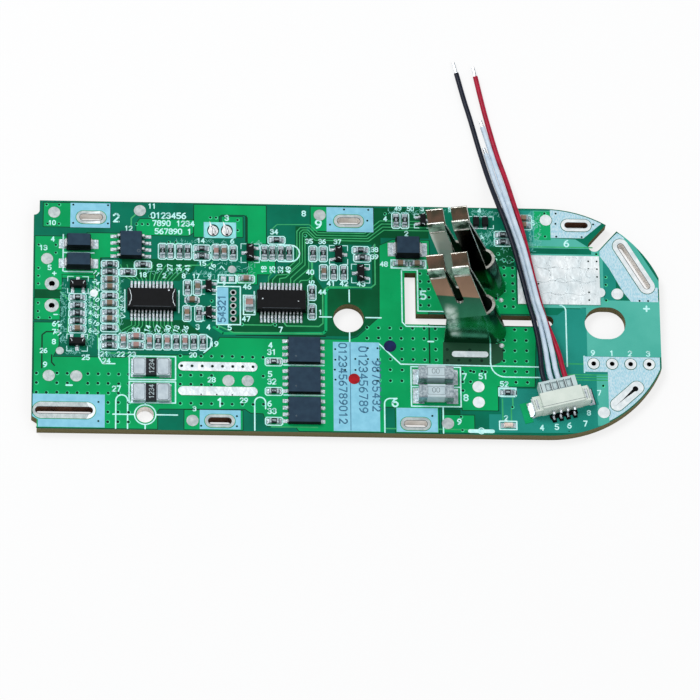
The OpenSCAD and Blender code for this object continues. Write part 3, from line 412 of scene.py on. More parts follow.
def mesh_of(name, verts, faces):
    me = bpy.data.meshes.new(name)
    me.from_pydata(verts, [], faces)
    me.update()
    return me


def catmull(points, steps=8):
    """Points of a smooth curve through the given ones."""
    p = [Vector(q) for q in points]
    ext = [p[0] * 2 - p[1]] + p + [p[-1] * 2 - p[-2]]
    out = []
    for i in range(1, len(ext) - 2):
        a, b, c, d = ext[i - 1:i + 3]
        for k in range(steps):
            t = k / steps
            out.append(0.5 * ((2 * b) + (c - a) * t + (2 * a - 5 * b + 4 * c - d) * t * t
                              + (3 * b - a - 3 * c + d) * t ** 3))
    out.append(p[-1])
    return out


WIRES = {
    "wire_black": [(34.308, -12.732, 3.7), (33.757, -10.602, 3.7), (33.4, -6, 4), (32.6, -1, 3.9),
                   (31.8, 2.4, 3.7), (30.6, 8, 3.6), (29.4, 13.2, 3.7), (28, 18, 3.7), (26.7, 22.3, 3.1),
                   (25.4, 27.5, 1.5), (24.1, 33, 0.55), (22.5, 39.5, 0.5), (21.3, 44, 0.5), (20.1, 49, 0.5)],
    "wire_white_b": [(35.518, -12.419, 3.7), (34.967, -10.289, 3.7), (34.4, -6, 4), (33.6, -1, 3.9),
                     (32.8, 2.4, 3.7), (31.6, 8, 3.6), (30.4, 13.2, 3.7), (29, 18, 3.7), (27.7, 22.3, 3.1),
                     (26.4, 27.5, 1.5), (25.1, 33, 0.55)],
    "wire_white_a": [(36.728, -12.106, 3.7), (36.177, -9.976, 3.7), (35.5, -6.5, 4.4), (34.3, -1, 4.75),
                     (33.3, 2.4, 4.6), (32.1, 8, 4.5), (30.9, 13.2, 4.6), (29.5, 18, 4.55),
                     (28.5, 22.3, 3.6), (27.4, 27.5, 1.7), (26.1, 33, 0.55), (24.6, 38.4, 0.5)],
    "wire_red": [(37.938, -11.793, 3.7), (37.387, -9.663, 3.7), (36.6, -6.5, 4), (34.7, -1, 3.9),
                 (33.8, 2.4, 3.75), (32.6, 8, 3.7), (31.6, 13.2, 3.7), (30.6, 18, 3.6), (29.5, 22.6, 2.9),
                 (28.4, 27.7, 1.5), (27, 33, 0.55), (25.5, 39, 0.5), (24.6, 43, 0.5), (23.5, 48.4, 0.5)],
}
WIRE_D = 0.9
for name, pts in WIRES.items():
    path = [q * MM for q in catmull(pts)]
    data = bpy.data.curves.new(name + "_lead", "CURVE")
    data.dimensions = "3D"
    data.bevel_depth = WIRE_D / 2 * MM * 0.995
    data.bevel_resolution = 5
    data.use_fill_caps = True
    sp = data.splines.new("POLY")
    sp.points.add(len(path) - 1)
    for q, co in zip(sp.points, path):
        q.co = (*co, 1)
    key = {"wire_black": "black_wire", "wire_red": "red_wire"}.get(name, "white_wire")
    obj = add_piece(name + "_lead", data, key)
    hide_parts(name)
    length = sum((b - a).length for a, b in zip(path, path[1:]))


# ---- flat pieces on the board

def board_edges():
    """Edges, in mm, of the board's top face: the outline and every hole, straight from the CAD solid."""
    me = N["circuit_board"].data
    key = lambda v: (round(v.x / MM, 3), round(v.y / MM, 3))
    count = {}
    for p in me.polygons:
        if p.normal.z > 0.9:
            ks = [key(me.vertices[i].co) for i in p.vertices]
            for a, b in zip(ks, ks[1:] + ks[:1]):
                if a != b:
                    e = (a, b) if a < b else (b, a)
                    count[e] = count.get(e, 0) + 1
    return [e for e, n in count.items() if n == 1]


EDGES = board_edges()
E = np.array(EDGES, float)


def inside(edges, pts):
    """Even-odd test of many points against closed loops of edges."""
    x, y = pts[:, 0, None], pts[:, 1, None]
    ax, ay, bx, by = edges[:, 0, 0], edges[:, 0, 1], edges[:, 1, 0], edges[:, 1, 1]
    cross = (ay > y) != (by > y)
    with np.errstate(divide="ignore", invalid="ignore"):
        at = ax + (y - ay) * (bx - ax) / (by - ay)
    return (cross & (x < at)).sum(1) % 2 == 1


# Heights above the board's top, in mm: what lies higher covers what lies lower
DARK_Z, TRENCH_Z, COPPER_Z, TEAL_Z, PALE_Z = 0.004, 0.007, 0.010, 0.012, 0.014
LAND_GREEN_Z, TRACK_Z, TRACE_Z, VIA_Z, SHADE_Z = 0.0148, 0.0158, 0.016, 0.0185, 0.0216
PRINT_Z, FINE_PRINT_Z, FIELD_PRINT_Z, FIELD_VIA_Z = 0.022, 0.024, 0.0325, 0.034
OVER_MASK_Z, OVER_PASTE_Z, OVER_LAND_Z, OVER_BAR_Z = 0.03, 0.066, 0.084, 0.162
OVER_PART = 0.004       # marks above a part's top
WALL_TOP_Z = 2.41       # marks on the header's walls
WALL_SHINE_Z = 2.406
PIN_HEIGHT_Z = 1.2      # painted shade where the header's pins come out
PIN_GAP_Z = 0.07        # painted shade at the foot of the pins and tabs
TRENCH_LINE_Z, LAND_VIA_Z, PIT_Z, GROOVE_Z = 0.0125, 0.262, 0.086, 0.087
BEAD_FIELD_Z, BEAD_OVAL_Z, BEAD_LEAF_Z, BEAD_NOTCH_Z = 0.034, 0.036, 0.038, 0.2


class Flat:
    """Thin faces at small heights above the board's top, collected into one mesh."""

    def __init__(self):
        self.v, self.f = [], []

    def face(self, pts, z):
        i = len(self.v)
        z += 0.0004 * (len(self.f) % 7)
        self.v += [(x * MM, y * MM, (TOP + z) * MM) for x, y in pts]
        self.f.append(list(range(i, i + len(pts))))

    def disc(self, x, y, r, z, n=12):
        self.face([(x + r * math.cos(a), y + r * math.sin(a)) for a in
                   (2 * math.pi * k / n for k in range(n))], z)

    def ring(self, x, y, r0, r1, z, n=24):
        for k in range(n):
            a, b = 2 * math.pi * k / n, 2 * math.pi * (k + 1) / n
            self.face([(x + r * math.cos(t), y + r * math.sin(t))
                       for r, t in ((r0, a), (r1, a), (r1, b), (r0, b))], z)

    def line(self, pts, w, z, closed=False):
        pts = list(pts) + ([pts[0]] if closed else [])
        for (ax, ay), (bx, by) in zip(pts, pts[1:]):
            d = math.hypot(bx - ax, by - ay)
            if d < 1e-6:
                continue
            nx, ny = -(by - ay) / d * w / 2, (bx - ax) / d * w / 2
            self.face([(ax - nx, ay - ny), (bx - nx, by - ny), (bx + nx, by + ny), (ax + nx, ay + ny)], z)
        for x, y in pts:
            self.disc(x, y, w / 2, z, 8)

    def areas(self, polys, z, rim=None, rim_w=0.26, rim_z=TRENCH_Z):
        """Fills the union of the polygons where there is board, and gives its free edges to rim."""
        loops = np.array([(a, b) for p in polys for a, b in zip(p, p[1:] + p[:1])], float)
        lo, hi = loops.min((0, 1)) - 0.5, loops.max((0, 1)) + 0.5
        near = [e for e in EDGES
                if all(min(e[0][k], e[1][k]) < hi[k] and max(e[0][k], e[1][k]) > lo[k] for k in (0, 1))]
        index, verts, es = {}, [], []
        for a, b in near + [(a, b) for p in polys for a, b in zip(p, p[1:] + p[:1])]:
            ids = []
            for q in (a, b):
                q = (round(q[0], 3), round(q[1], 3))
                if q not in index:
                    index[q] = len(verts)
                    verts.append(Vector(q))
                ids.append(index[q])
            if ids[0] != ids[1]:
                es.append(tuple(ids))
        v, _, faces, *_ = delaunay_2d_cdt(verts, es, [], 0, 1e-5)
        mid = np.array([[sum(v[i].x for i in f) / 3, sum(v[i].y for i in f) / 3] for f in faces])
        on = inside(E, mid)
        keep = np.zeros(len(faces), bool)
        for p in polys:
            keep |= inside(np.array([(a, b) for a, b in zip(p, p[1:] + p[:1])], float), mid)
        keep &= on
        sides = {}
        for k, f in enumerate(faces):
            if keep[k]:
                self.face([(v[i].x, v[i].y) for i in f], z)
            for a, b in zip(f, f[1:] + f[:1]):
                sides.setdefault((min(a, b), max(a, b)), []).append(k)
        if rim is not None:
            for (a, b), ks in sides.items():
                if len(ks) == 2 and keep[ks[0]] != keep[ks[1]] and on[ks[0]] and on[ks[1]]:
                    rim.line([(v[a].x, v[a].y), (v[b].x, v[b].y)], rim_w, rim_z)

    def make(self, name, key, slot):
        me = mesh_of(name, self.v, self.f)
        down = [p.index for p in me.polygons if p.normal.z < 0]
        if down:
            bm = bmesh.new()
            bm.from_mesh(me)
            bm.faces.ensure_lookup_table()
            bmesh.ops.reverse_faces(bm, faces=[bm.faces[i] for i in down])
            bm.to_mesh(me)
            bm.free()
        return add_piece(name, me, key)


def rect(x0, y0, x1, y1):
    return [(x0, y0), (x1, y0), (x1, y1), (x0, y1)]


copper, dark, pale, teal, trench = Flat(), Flat(), Flat(), Flat(), Flat()

dark.areas([xy("-3.95,-3.5 1.3,-3.5 5.65,0.3 5.65,14.2 4.4,14.2 4.4,5.6 -3.1,5.6 -3.95,4.9"),
    rect(-54.75, 2.95, -50.2, 4.55),
    xy("-20.5,-3.4 -3.9,-3.4 -3.9,5 -5.9,8.3 -7,11 -7,17.6 -9,17.6 -9.1,11.2 -14.4,6.4 -20.5,-1.6"),
    rect(4.8, 15.6, 14.5, 21.4), rect(-8.6, 14.2, 6.0, 16.6),
    xy("-39.5,10.8 -26,10.8 -27,8.6 -29.4,6.6 -39.5,6.9"), xy("-39.8,-0.9 -28.5,-0.9 -25.4,-3.6 -39.8,-3.6"),
    rect(16.2, -18.1, 19.5, -17.1), rect(25.2, 10.6, 29.5, 14.2)], DARK_Z)

copper.areas([xy("-17.36,10.64 -12.63,10.73 -12.64,9.04 -13.52,8.18 -17.37,8.11"),
    rect(-53.3, 16.75, -41.6, 21.35),
    xy("-54.7,14.85 -46.1,14.85 -45.6,15.6 -40,15.6 -40,11 -43.2,10.9 -43.2,7.6 -50,7.6 -50,4.6 -54.7,4.6"),
    xy("-37,17.6 -36.4,18.5 -27,18.5 -27,16 -27.8,15.4 -37,15.4"),
    xy(
    "-26.85,21.45 -14.2,21.45 -14.2,14.1 -17.4,14.1 -17.4,19.1 -18,19.6 -22,19.6 -22.5,19.2 -22.5,15.2 "
    "-26.85,15.2"),
    rect(-22, 15.3, -18.3, 19.2), rect(-54.7, -1.15, -50.3, 2.9),
    xy(
    "-54.7,-1.75 -50.4,-1.75 -50.4,-6 -51.4,-8.25 -38.9,-8.25 -37.8,-7.6 -25.3,-7.6 -23.2,-5.6 -22.3,-4.15 "
    "0.2,-4.15 1.7,-3.6 5.65,0.3 5.8,14.1 8.1,15.2 14.5,15.2 14.5,10 24.9,10 24.9,1.6 14.2,1.6 14.2,-1.2 "
    "33,-1.2 33,-3 32.6,-12.6 26.1,-12.6 26.1,-17.2 19.9,-17.2 19.9,-16.8 6.2,-16.8 6.2,-21.6 -5,-21.6 "
    "-8.6,-21.6 -9.2,-20.8 -14,-20.8 -14.8,-18.4 -17,-18.3 -18,-17.6 -32.8,-17.8 -33.2,-18.2 -33.2,-21.6 "
    "-54.7,-21.6"),
    rect(-28.5, -21.6, -18.4, -17.95), rect(8.2, -21.6, 15.7, -16.8), rect(16.3, -21.5, 21.9, -18.2),
    rect(-6.3, 16.75, 4.75, 21.45), xy("9,10.2 12.9,10.2 12.9,1.4 24.9,1.4 24.9,10.2"),
    xy("24.8,1.3 33.4,1.3 33.4,3.2 29.8,3.2 29.8,10.4 24.8,10.4"),
    xy("-49.9,7.5 -44.2,7.5 -44.2,6.9 -49.9,6.9"), rect(-19.6, 6.2, -15.8, 8.3),
    xy("29.8,-15.2 33.5,-14.2 34.3,-17.9 30.6,-18.9")], COPPER_Z, trench)

# Paler mask over the pours at the right end: the pour shapes are the board's, the paleness painted glare
teal.areas([xy(
    "33.4,1.2 36.9,1.2 38.4,2.4 41.2,2.4 41.2,-9.6 45.5,-9.6 45.5,-20 42.5,-21.2 24.5,-21.4 24.5,-17.9 "
    "26.6,-17.9 26.6,-13 33.4,-13"),
    rect(30.2, 13.4, 33.0, 21.4), rect(41.0, -9.6, 42.2, 2.7), rect(43.9, 3.2, 47.4, 14)], TEAL_Z)
pale.areas([xy(
    "33,3.2 33,2.6 42,2.6 42,-6.6 55,-6.6 55,4.2 45.2,4.2 45.2,13.2 43.2,14.8 43.2,13 30,13 30,14.1 43.2,14.1 "
    "40.5,15.9 36.1,16.1 36.1,21.4 33,21.4 33,15.2 30,15.2 30,3.2"),
    rect(43.5, -19.8, 45.55, -10.0), xy("48.2,17.2 49.4,17.6 55,8 55,6.5 53.8,6.5")], PALE_Z)

for pts in paths(
    "-50.2,-3.5 -52.6,-3.5 -53.3,-4.1 -53.3,-10.4; -51.6,-7.9 -51.6,-9.3 -51.1,-9.9; 14.3,-8.3 14.3,-1.6; "
    "-20.6,-1.9 -19.5,-3.55 -3.9,-3.55; -17.7,19.4 -17.7,14.4; -43.2,7.2 -43.2,10.8; 38.4,-20.9 24.6,-21"):
    trench.line(pts, 0.26, TRENCH_LINE_Z)

copper.make("copper_areas", "copper", "laminate")
dark.make("gap_areas", "dark", "laminate")
teal.make("teal_areas", "teal", "laminate")
pale.make("pale_areas", "pale", "laminate")
trench.make("trench_lines", "trench", "laminate")


# ---- traces and vias

def islands(name):
    """Boxes (x0, y0, z0, x1, y1, z1 in mm) of the separate solids in a CAD node."""
    me = N[name].data
    co = np.zeros(len(me.vertices) * 3, np.float32)
    me.vertices.foreach_get("co", co)
    co = co.reshape(-1, 3) / MM
    key = {}
    same = [key.setdefault(tuple(np.round(c, 3)), i) for i, c in enumerate(co)]
    root = list(range(len(co)))

    def find(i):
        while root[i] != i:
            root[i] = root[root[i]]
            i = root[i]
        return i

    for p in me.polygons:
        a = find(same[p.vertices[0]])
        for i in p.vertices[1:]:
            root[find(same[i])] = a
    groups = {}
    for i in range(len(co)):
        groups.setdefault(find(same[i]), []).append(i)
    return [tuple(co[g].min(0)) + tuple(co[g].max(0)) for g in groups.values() if len(g) > 3]


traces = Flat()


def run(w, *pts):
    traces.line(pts, w, TRACE_Z)


# Fans from the first controller's lead rows
cx, cy = CONTROLLERS[0]
for k in range(12):
    x = cx - 3.49 + 0.635 * k
    run(0.16, (x, cy + 3.3), (x, cy + 4.0), (x + 0.22 * (k - 5), cy + 4.6 + 0.08 * k), (x + 0.5 * (k - 4), 9.6))
    run(0.16, (x, cy - 3.3), (x, -2.0), (x + 0.3 * (k - 5), -2.9), (x + 0.45 * (k - 5), -3.7))
# Bundle from the second controller's rear leads, under the third slot and to the right
for p in paths(
    "-13.8,6.49 -13.79,7.69 -12.97,8.74 -10.89,8.88 -8.78,11.09 -8.75,16.62 -8.15,17.31 -6.54,17.34 "
    "-5.27,15.91 3.5,15.9 6.2,18.3 14.6,18.3; -13.09,6.5 -13.09,7.1 -12.32,8.08 -10.56,8.21 -8.3,10.57 "
    "-8.26,16.39 -7.75,16.88 -6.83,16.9 -5.45,15.39 3.7,15.4 6.4,17.7 14.6,17.7; -11.84,6.52 -11.84,7.41 "
    "-10.78,7.58 -7.84,10.62 -7.8,16.15 -7.54,16.47 -6.99,16.48 -5.57,14.93 3.9,14.9 6.6,17.1 14.6,17.1; "
    "-9.91,6.55 -9.91,7.52 -7.36,10.1 -7.35,11.43 -7.33,15.19; -9.32,6.57 -9.32,6.93 -6.71,9.39 -6.7,11.08 "
    "-6.69,11.81; -8.38,6.7 -8.15,7.07 -6.9,7.16 -6.06,7.95 -6.04,10.49; -13.15,16.9 -12.27,17.84 -6.53,17.95 "
    "-5.05,16.4 3.2,16.4 5.9,18.9 14.6,18.9"):
    run(0.17, *p)
for y in (-10.15, -10.65, -11.15):
    run(0.22, (38.4, y), (45.4, y))
for p in paths(
    "-28,9.7 -24.5,9.7 -23.6,10.4; -21.8,1.2 -22.5,-1.9 -20,-3.1 -4.4,-3.1; -18.6,-1.6 -13.3,-1.6 -12.9,-1.2; "
    "-11.1,-1.1 -10.7,-1.7 -5,-1.7 -4.3,-1.1 -4.3,5.1 -3.4,5.95 4.2,5.95 4.95,6.6 4.95,14.3; -37.9,16.8 "
    "-37.9,18.6 -37.2,19.3; -6.2,6.5 -6.2,10.6; -50.2,4.2 -48.6,2.5 -48.9,-4; -45,5.2 -44.9,-3.4 -46,-6.2; "
    "-43.6,6 -43.6,-6.6 -42.4,-7.4 -38.2,-7.4; -39.9,7.4 -39.9,-3.1; -40.4,7.4 -40.4,-2.2; -39.4,1.3 -40.2,0.4 "
    "-40.2,-1.6; -44.3,7.4 -44.3,0.2 -45.2,-0.8; 33.5,-8.1 41.3,-8.1; 29.6,14.35 43.4,14.35; 6.4,-20.9 "
    "20.6,-20.9; -13.4,-20.9 -5.4,-20.9; 26.9,-15 26.9,-18.9; 28.7,-14.8 28.7,-16.4 28.4,-17 28.4,-19"):
    run(0.24, *p)
traces.make("traces", "trace", "laminate")
broad = Flat()
broad.line(xy("-23.4,-2.15 -21.69,-3.3 -4.3,-3 -3.8,-2.5 -3.72,5.2 -3.2,5.85 0.46,5.9"), 0.5, TRACK_Z)
broad.face(rect(33.2, 15.7, 36.1, 21.3), LAND_GREEN_Z)
broad.make("broad_tracks", "land_green", "laminate")

via_rims, via_holes = Flat(), Flat()
BLOCKED = []
for name in ("component_pads", "slot_lands", "hole_lands", "test_lands", "power_transistors",
    "sense_resistor_cores", "sense_resistor_ends", "fuse_bodies", "fuse_caps", "charge_diodes", "surge_diode",
    "solder_bars", "wire_header", "header_tabs", "controller_chips", "driver_chip", "small_transistors",
    "clip_solder"):
    BLOCKED += islands(name)


def via(x, y, r=0.27, on_print=False):
    """A via, where there is board and no part or land."""
    if not inside(E, np.array([[x, y], [x + 0.5, y], [x - 0.5, y], [x, y + 0.5], [x, y - 0.5]])).all():
        return
    for b in BLOCKED:
        if b[0] - 0.3 < x < b[3] + 0.3 and b[1] - 0.3 < y < b[4] + 0.3:
            return
    z = FIELD_VIA_Z if on_print else VIA_Z
    # A lighter disc set off to one side: painted glint on the via's rim; the dark disc: painted shade in its
    # hole
    if not on_print:
        via_rims.disc(x + 0.05, y - 0.04, r + 0.1, z, 14)
    via_holes.disc(x, y, r, z + 0.003, 12)


def grid(x0, x1, dx, ys):
    x = x0
    while x <= x1:
        for y in ys:
            via(x + random.uniform(-0.04, 0.04), y + random.uniform(-0.04, 0.04))
        x += dx


grid(-54.2, -37.5, 1.78, (-11.35, -13.15, -15.0))
grid(-41.8, -38, 1.8, (-16.75, -18.55, -20.4))
grid(-29.2, -19, 1.8, (-7.7, -11.35, -13.1, -16.7))
grid(-18.4, -14.5, 1.8, (-7.75, -11.3, -16.7))
grid(3.4, 24, 2.0, (-1.75, -3.75, -5.75, -7.75, -9.75, -11.8))
grid(27.3, 33, 2.0, (-1.75, -3.75, -5.75, -7.75, -9.75, -11.8))
grid(12.85, 14.4, 1.5, (8.8, 7.3, 5.8, 4.2, 2.7))
grid(26.2, 29.5, 1.5, (11.7, 10.2, 8.7, 7.2, 5.7, 4.2, 2.7))
grid(20, 25.4, 2.0, (-9.9, -11.8, -13.5))
for p in xy(
    "-52.8,21 -50.6,21 -52.6,17.3 -50.6,17.3 -54.1,13.2 -54.1,8.7 -54.1,7.2 -54.1,5.7 -54.1,2 -54.1,0.4 "
    "-54,-0.8 -52,-0.8 -51.1,11.7 -51.1,13.2 -37,17.5 -36,17.5 -35,17.5 -24,19 -23,19 -19.2,18.6 -19.2,16.6 "
    "-5.4,21 -3.9,21 45.6,13.1 44.1,13.1 45.6,8.7 45.6,7.2 45.6,4.2 47.1,8.6 35.1,20.9 35.1,16.4 44.6,-12.2 "
    "44.6,-16.1 44.6,-18.4 16.9,-18.5 19.6,-18.5 19.8,-21 16.6,-21 -31.3,14.1 -30.1,14.1 6.8,20.3 -7.3,15.8 "
    "-18.5,-1.5 -12.7,-1.5 28.6,-16.5 -23.8,2.9 -22.8,-2.1 26.7,12.9 -34.6,19.1 43,-13"):
    via(*p, r=0.22)
for p in xy(
    "-48.1,21.05 -42,21.05 -48.1,17.5 -42,17.5 -43.4,-16.7 -43.4,-20.3 -19.4,-19 -19.4,-20.9 -25.6,-20.9 "
    "-0.4,21 3.9,21 -2.9,18 3.7,18.9 9,-18.5 14.6,-18.4 14.6,-20.9 37.1,20.9 43.7,18.9 37.1,16.4 41.6,16.4 "
    "37,18.9 50,5.6 48.5,7.2 50,7.2 48.5,8.7 51.5,4.2 53,4.2 47.1,11.6 46.4,-12.2 48.2,-12.2 46.4,-14.1 "
    "-2.2,-6 -2.2,-8 -2.3,-9.9 -2.2,-11.8 -0.5,-9.9 1.3,-9.9 1.3,-7.8 3.5,-5.7 3.5,-7.8 5.2,-7.8 5.2,-5.7 "
    "5.2,-9.9 5.2,-11.9"):
    via(*p, r=0.19, on_print=True)
# Dark discs on the lands and bars: painted shade in the holes of vias
for x, y in xy("42.6,11.6 44.1,11.6 42.6,10.1 44.1,10.1 44.1,8.6 42.6,5.6 42.6,4.1 33.7,5.6 33.7,7.1"):
    via_holes.disc(x, y, 0.17, LAND_VIA_Z, 12)
for k in range(8):
    via_holes.disc(-29 + 1.78 * k + random.uniform(-0.05, 0.05), -9.65, 0.27, OVER_BAR_Z, 12)
for k in range(3):
    via_holes.disc(-25.6 + 2.7 * k, -15.02, 0.14, OVER_BAR_Z, 10)
via_rims.make("via_rims", "via_rim", "laminate")
via_holes.make("via_holes", "via", "laminate")


# ---- printed lines and plain numbers

silk, blue = Flat(), Flat()


def arc(cx, cy, r, a0, a1, n=8):
    return [(cx + r * math.cos(math.radians(a0 + (a1 - a0) * k / n)),
             cy + r * math.sin(math.radians(a0 + (a1 - a0) * k / n))) for k in range(n + 1)]


# Strokes in a box 0.6 wide and 1 high
STROKES = {
    "0": "0,.2 0,.8 .18,1 .42,1 .6,.8 .6,.2 .42,0 .18,0 0,.2", "1": ".12,.8 .34,1 .34,0",
    "2": "0,.8 .18,1 .42,1 .6,.8 .6,.6 0,0 .6,0",
    "3": "0,.85 .18,1 .42,1 .6,.82 .6,.66 .42,.52 .2,.52; .42,.52 .6,.36 .6,.16 .42,0 .18,0 0,.15",
    "4": ".46,0 .46,1 0,.3 .62,.3", "5": ".58,1 .06,1 .02,.56 .38,.6 .6,.42 .6,.18 .42,0 .16,0 0,.12",
    "6": ".5,1 .2,.84 0,.5 0,.2 .18,0 .42,0 .6,.2 .6,.38 .42,.56 .18,.56 0,.4", "7": "0,1 .6,1 .22,0",
    "8": ".18,.54 0,.7 0,.84 .18,1 .42,1 .6,.84 .6,.7 .42,.54 .18,.54 0,.36 0,.16 .18,0 .42,0 .6,.16 .6,.36 "
         ".42,.54",
    "9": ".1,0 .4,.16 .6,.5 .6,.8 .42,1 .18,1 0,.8 0,.62 .18,.44 .42,.44 .6,.6",
    "+": "0,.5 .6,.5; .3,.2 .3,.8", "-": "0,.5 .6,.5",
}


def number(text, x, y, h=0.85, turn=0, into=silk, w=None, z=PRINT_Z):
    """Plain figures, their lower left at (x, y)."""
    c, s = math.cos(math.radians(turn)), math.sin(math.radians(turn))
    at = 0
    for ch in text:
        for stroke in paths(STROKES.get(ch, "")):
            into.line([(x + (at + px) * h * c - py * h * s, y + (at + px) * h * s + py * h * c)
                       for px, py in stroke], w or 0.17 * h + 0.05, z)
        at += 0.86


def s(*pts, w=0.24, closed=False):
    """A printed line."""
    silk.line(pts, w, PRINT_Z, closed)


s(*arc(-35.3, -18.95, 1.85, 0, 345, 28), w=0.22, closed=True)
for pts in paths(
    "-40.9,-18.95 -37.2,-18.95; -33.4,-18.95 -29.7,-18.95; -35.3,-21.6 -35.3,-20.8; -35.3,-17.1 -35.3,-16.7; "
    "-4.9,0.15 -2.8,0.15; 3.2,0.15 5.9,0.15; 0.35,5.4 0.35,3.1; 0.35,-2.8 0.35,-4.5"):
    s(*pts)
for pts in paths("9.6,9.45 12.4,9.45 12.4,1.55 26,1.55; 9.6,9.45 9.6,-0.6 10.3,-1.4 26.2,-1.4"):
    s(*pts, w=0.22)
s((5.5, -4.85), (9.2, -8.65), (33.7, -8.8))
s((25.0, -4.5), (24.95, -8.4), *arc(27.5, -8.3, 2.5, 180, 270), (33.9, -10.8))
s((37.6, 3.1), *arc(37.4, 2.1, 1.0, 90, 0), (38.4, -8.6))
for x0, x1 in ((-40.4, -38.35), (-16.3, -14.4)):
    s((x0, -21.6), (x0, -16.3), *arc((x0 + x1) / 2, -16.3, (x1 - x0) / 2, 180, 0),
        (x1, -21.6) if x0 < -30 else (x1, -17.5))
s((6.3, -21.6), (6.3, -16.2), *arc(7.3, -16.2, 1.0, 180, 90), (8.4, -15.2))
s((16.5, -16.8), (16.5, -21.6))
for b in ((-38.1, -12.3, -30.05, -7.9), (-38.1, -16.7, -30.05, -12.7), (11.0, -16.6, 19.65, -9.1),
    (26.3, -14.4, 29.3, -12.9), (26.3, -20.75, 29.3, -19.2), (-22.6, 6.4, -19.5, 7.9),
    (-18.75, -1.6, -22.9, 5.7), (-18.2, 0.35, -16.2, 4.05), (7.8, 9.8, 13.9, 11.35)):
    s(*rect(*b), closed=True)
s((11.0, -12.9), (19.65, -12.9))
for pts in paths("-11.2,-9.15 -4.2,-9.15; -11.2,-14.85 -4.2,-14.85"):
    s(*pts, w=0.24)
for pts in paths(
    "-49.6,11.75 -44.4,11.75; -49.6,8.1 -44.6,8.1; -49.8,15.2 -49.8,8.2; -43.4,-8.2 -43.4,-4.6; -43.4,-8.2 "
    "-42.7,-9.4 -40.6,-9.4; -25.1,-7 -24,-6 -23.8,-4.4 -24.8,-3.6"):
    s(*pts)
s((21.1, -21.15), (25.1, -21.15), w=0.7)
s(*arc(23.1, -21.1, 0.55, 0, 345, 14), w=0.18, closed=True)
for pts in paths("38.3,20.4 38.3,20.4; 41.4,-9.7 41.4,-6.6"):
    s(*pts)
s((-12.2, 13.9), (-9.9, 13.9), *arc(-9.9, 12.3, 1.6, 90, -90), (-12, 10.7))
for cx, cy in CONTROLLERS:
    s((cx - 4.7, cy + 2.1), (cx - 4.7, cy - 2.1))
    s((cx + 4.75, cy + 2.1), (cx + 4.75, cy - 2.1))
# Outlines round the chip parts
ENDS = islands("resistor_ends") + islands("capacitor_ends")
for name in ("resistor_bodies", "capacitor_bodies"):
    for b in islands(name):
        cx, cy = (b[0] + b[3]) / 2, (b[1] + b[4]) / 2
        lx, ly = b[3] - b[0], b[4] - b[1]
        long_x = any(abs((e[0] + e[3]) / 2 - cx) > 0.4 and abs((e[1] + e[4]) / 2 - cy) < 0.1 and
                     math.hypot((e[0] + e[3]) / 2 - cx, (e[1] + e[4]) / 2 - cy) < 1.3
                     for e in ENDS)
        hx, hy = (1.5, 0.74) if long_x else (0.72, 1.52)
        if lx > 1.1 and ly > 1.1:
            hx, hy = 0.95, 1.75
        if name == "capacitor_bodies" and abs(cx + 27.2) < 0.3:
            silk.line(arc(cx, cy, 1.2, 0, 345, 20), 0.14, PRINT_Z, True)
            continue
        c = 0.25
        silk.line([(cx - hx + c, cy - hy), (cx + hx - c, cy - hy), (cx + hx, cy - hy + c),
            (cx + hx, cy + hy - c), (cx + hx - c, cy + hy), (cx - hx + c, cy + hy), (cx - hx, cy + hy - c),
            (cx - hx, cy - hy + c)], 0.19, PRINT_Z, True)
for b in islands("small_transistors") + islands("small_diodes"):
    cx, cy = (b[0] + b[3]) / 2, (b[1] + b[4]) / 2
    hx, hy = (b[3] - b[0]) / 2 + 0.95, (b[4] - b[1]) / 2 + 0.35
    if b[3] - b[0] > b[4] - b[1]:
        hx, hy = (b[3] - b[0]) / 2 + 0.35, (b[4] - b[1]) / 2 + 0.95
    for sx in (-1, 1):
        for sy in (-1, 1):
            s((cx + sx * hx, cy + sy * hy * 0.45), (cx + sx * hx, cy + sy * hy),
                (cx + sx * hx * 0.45, cy + sy * hy), w=0.14)

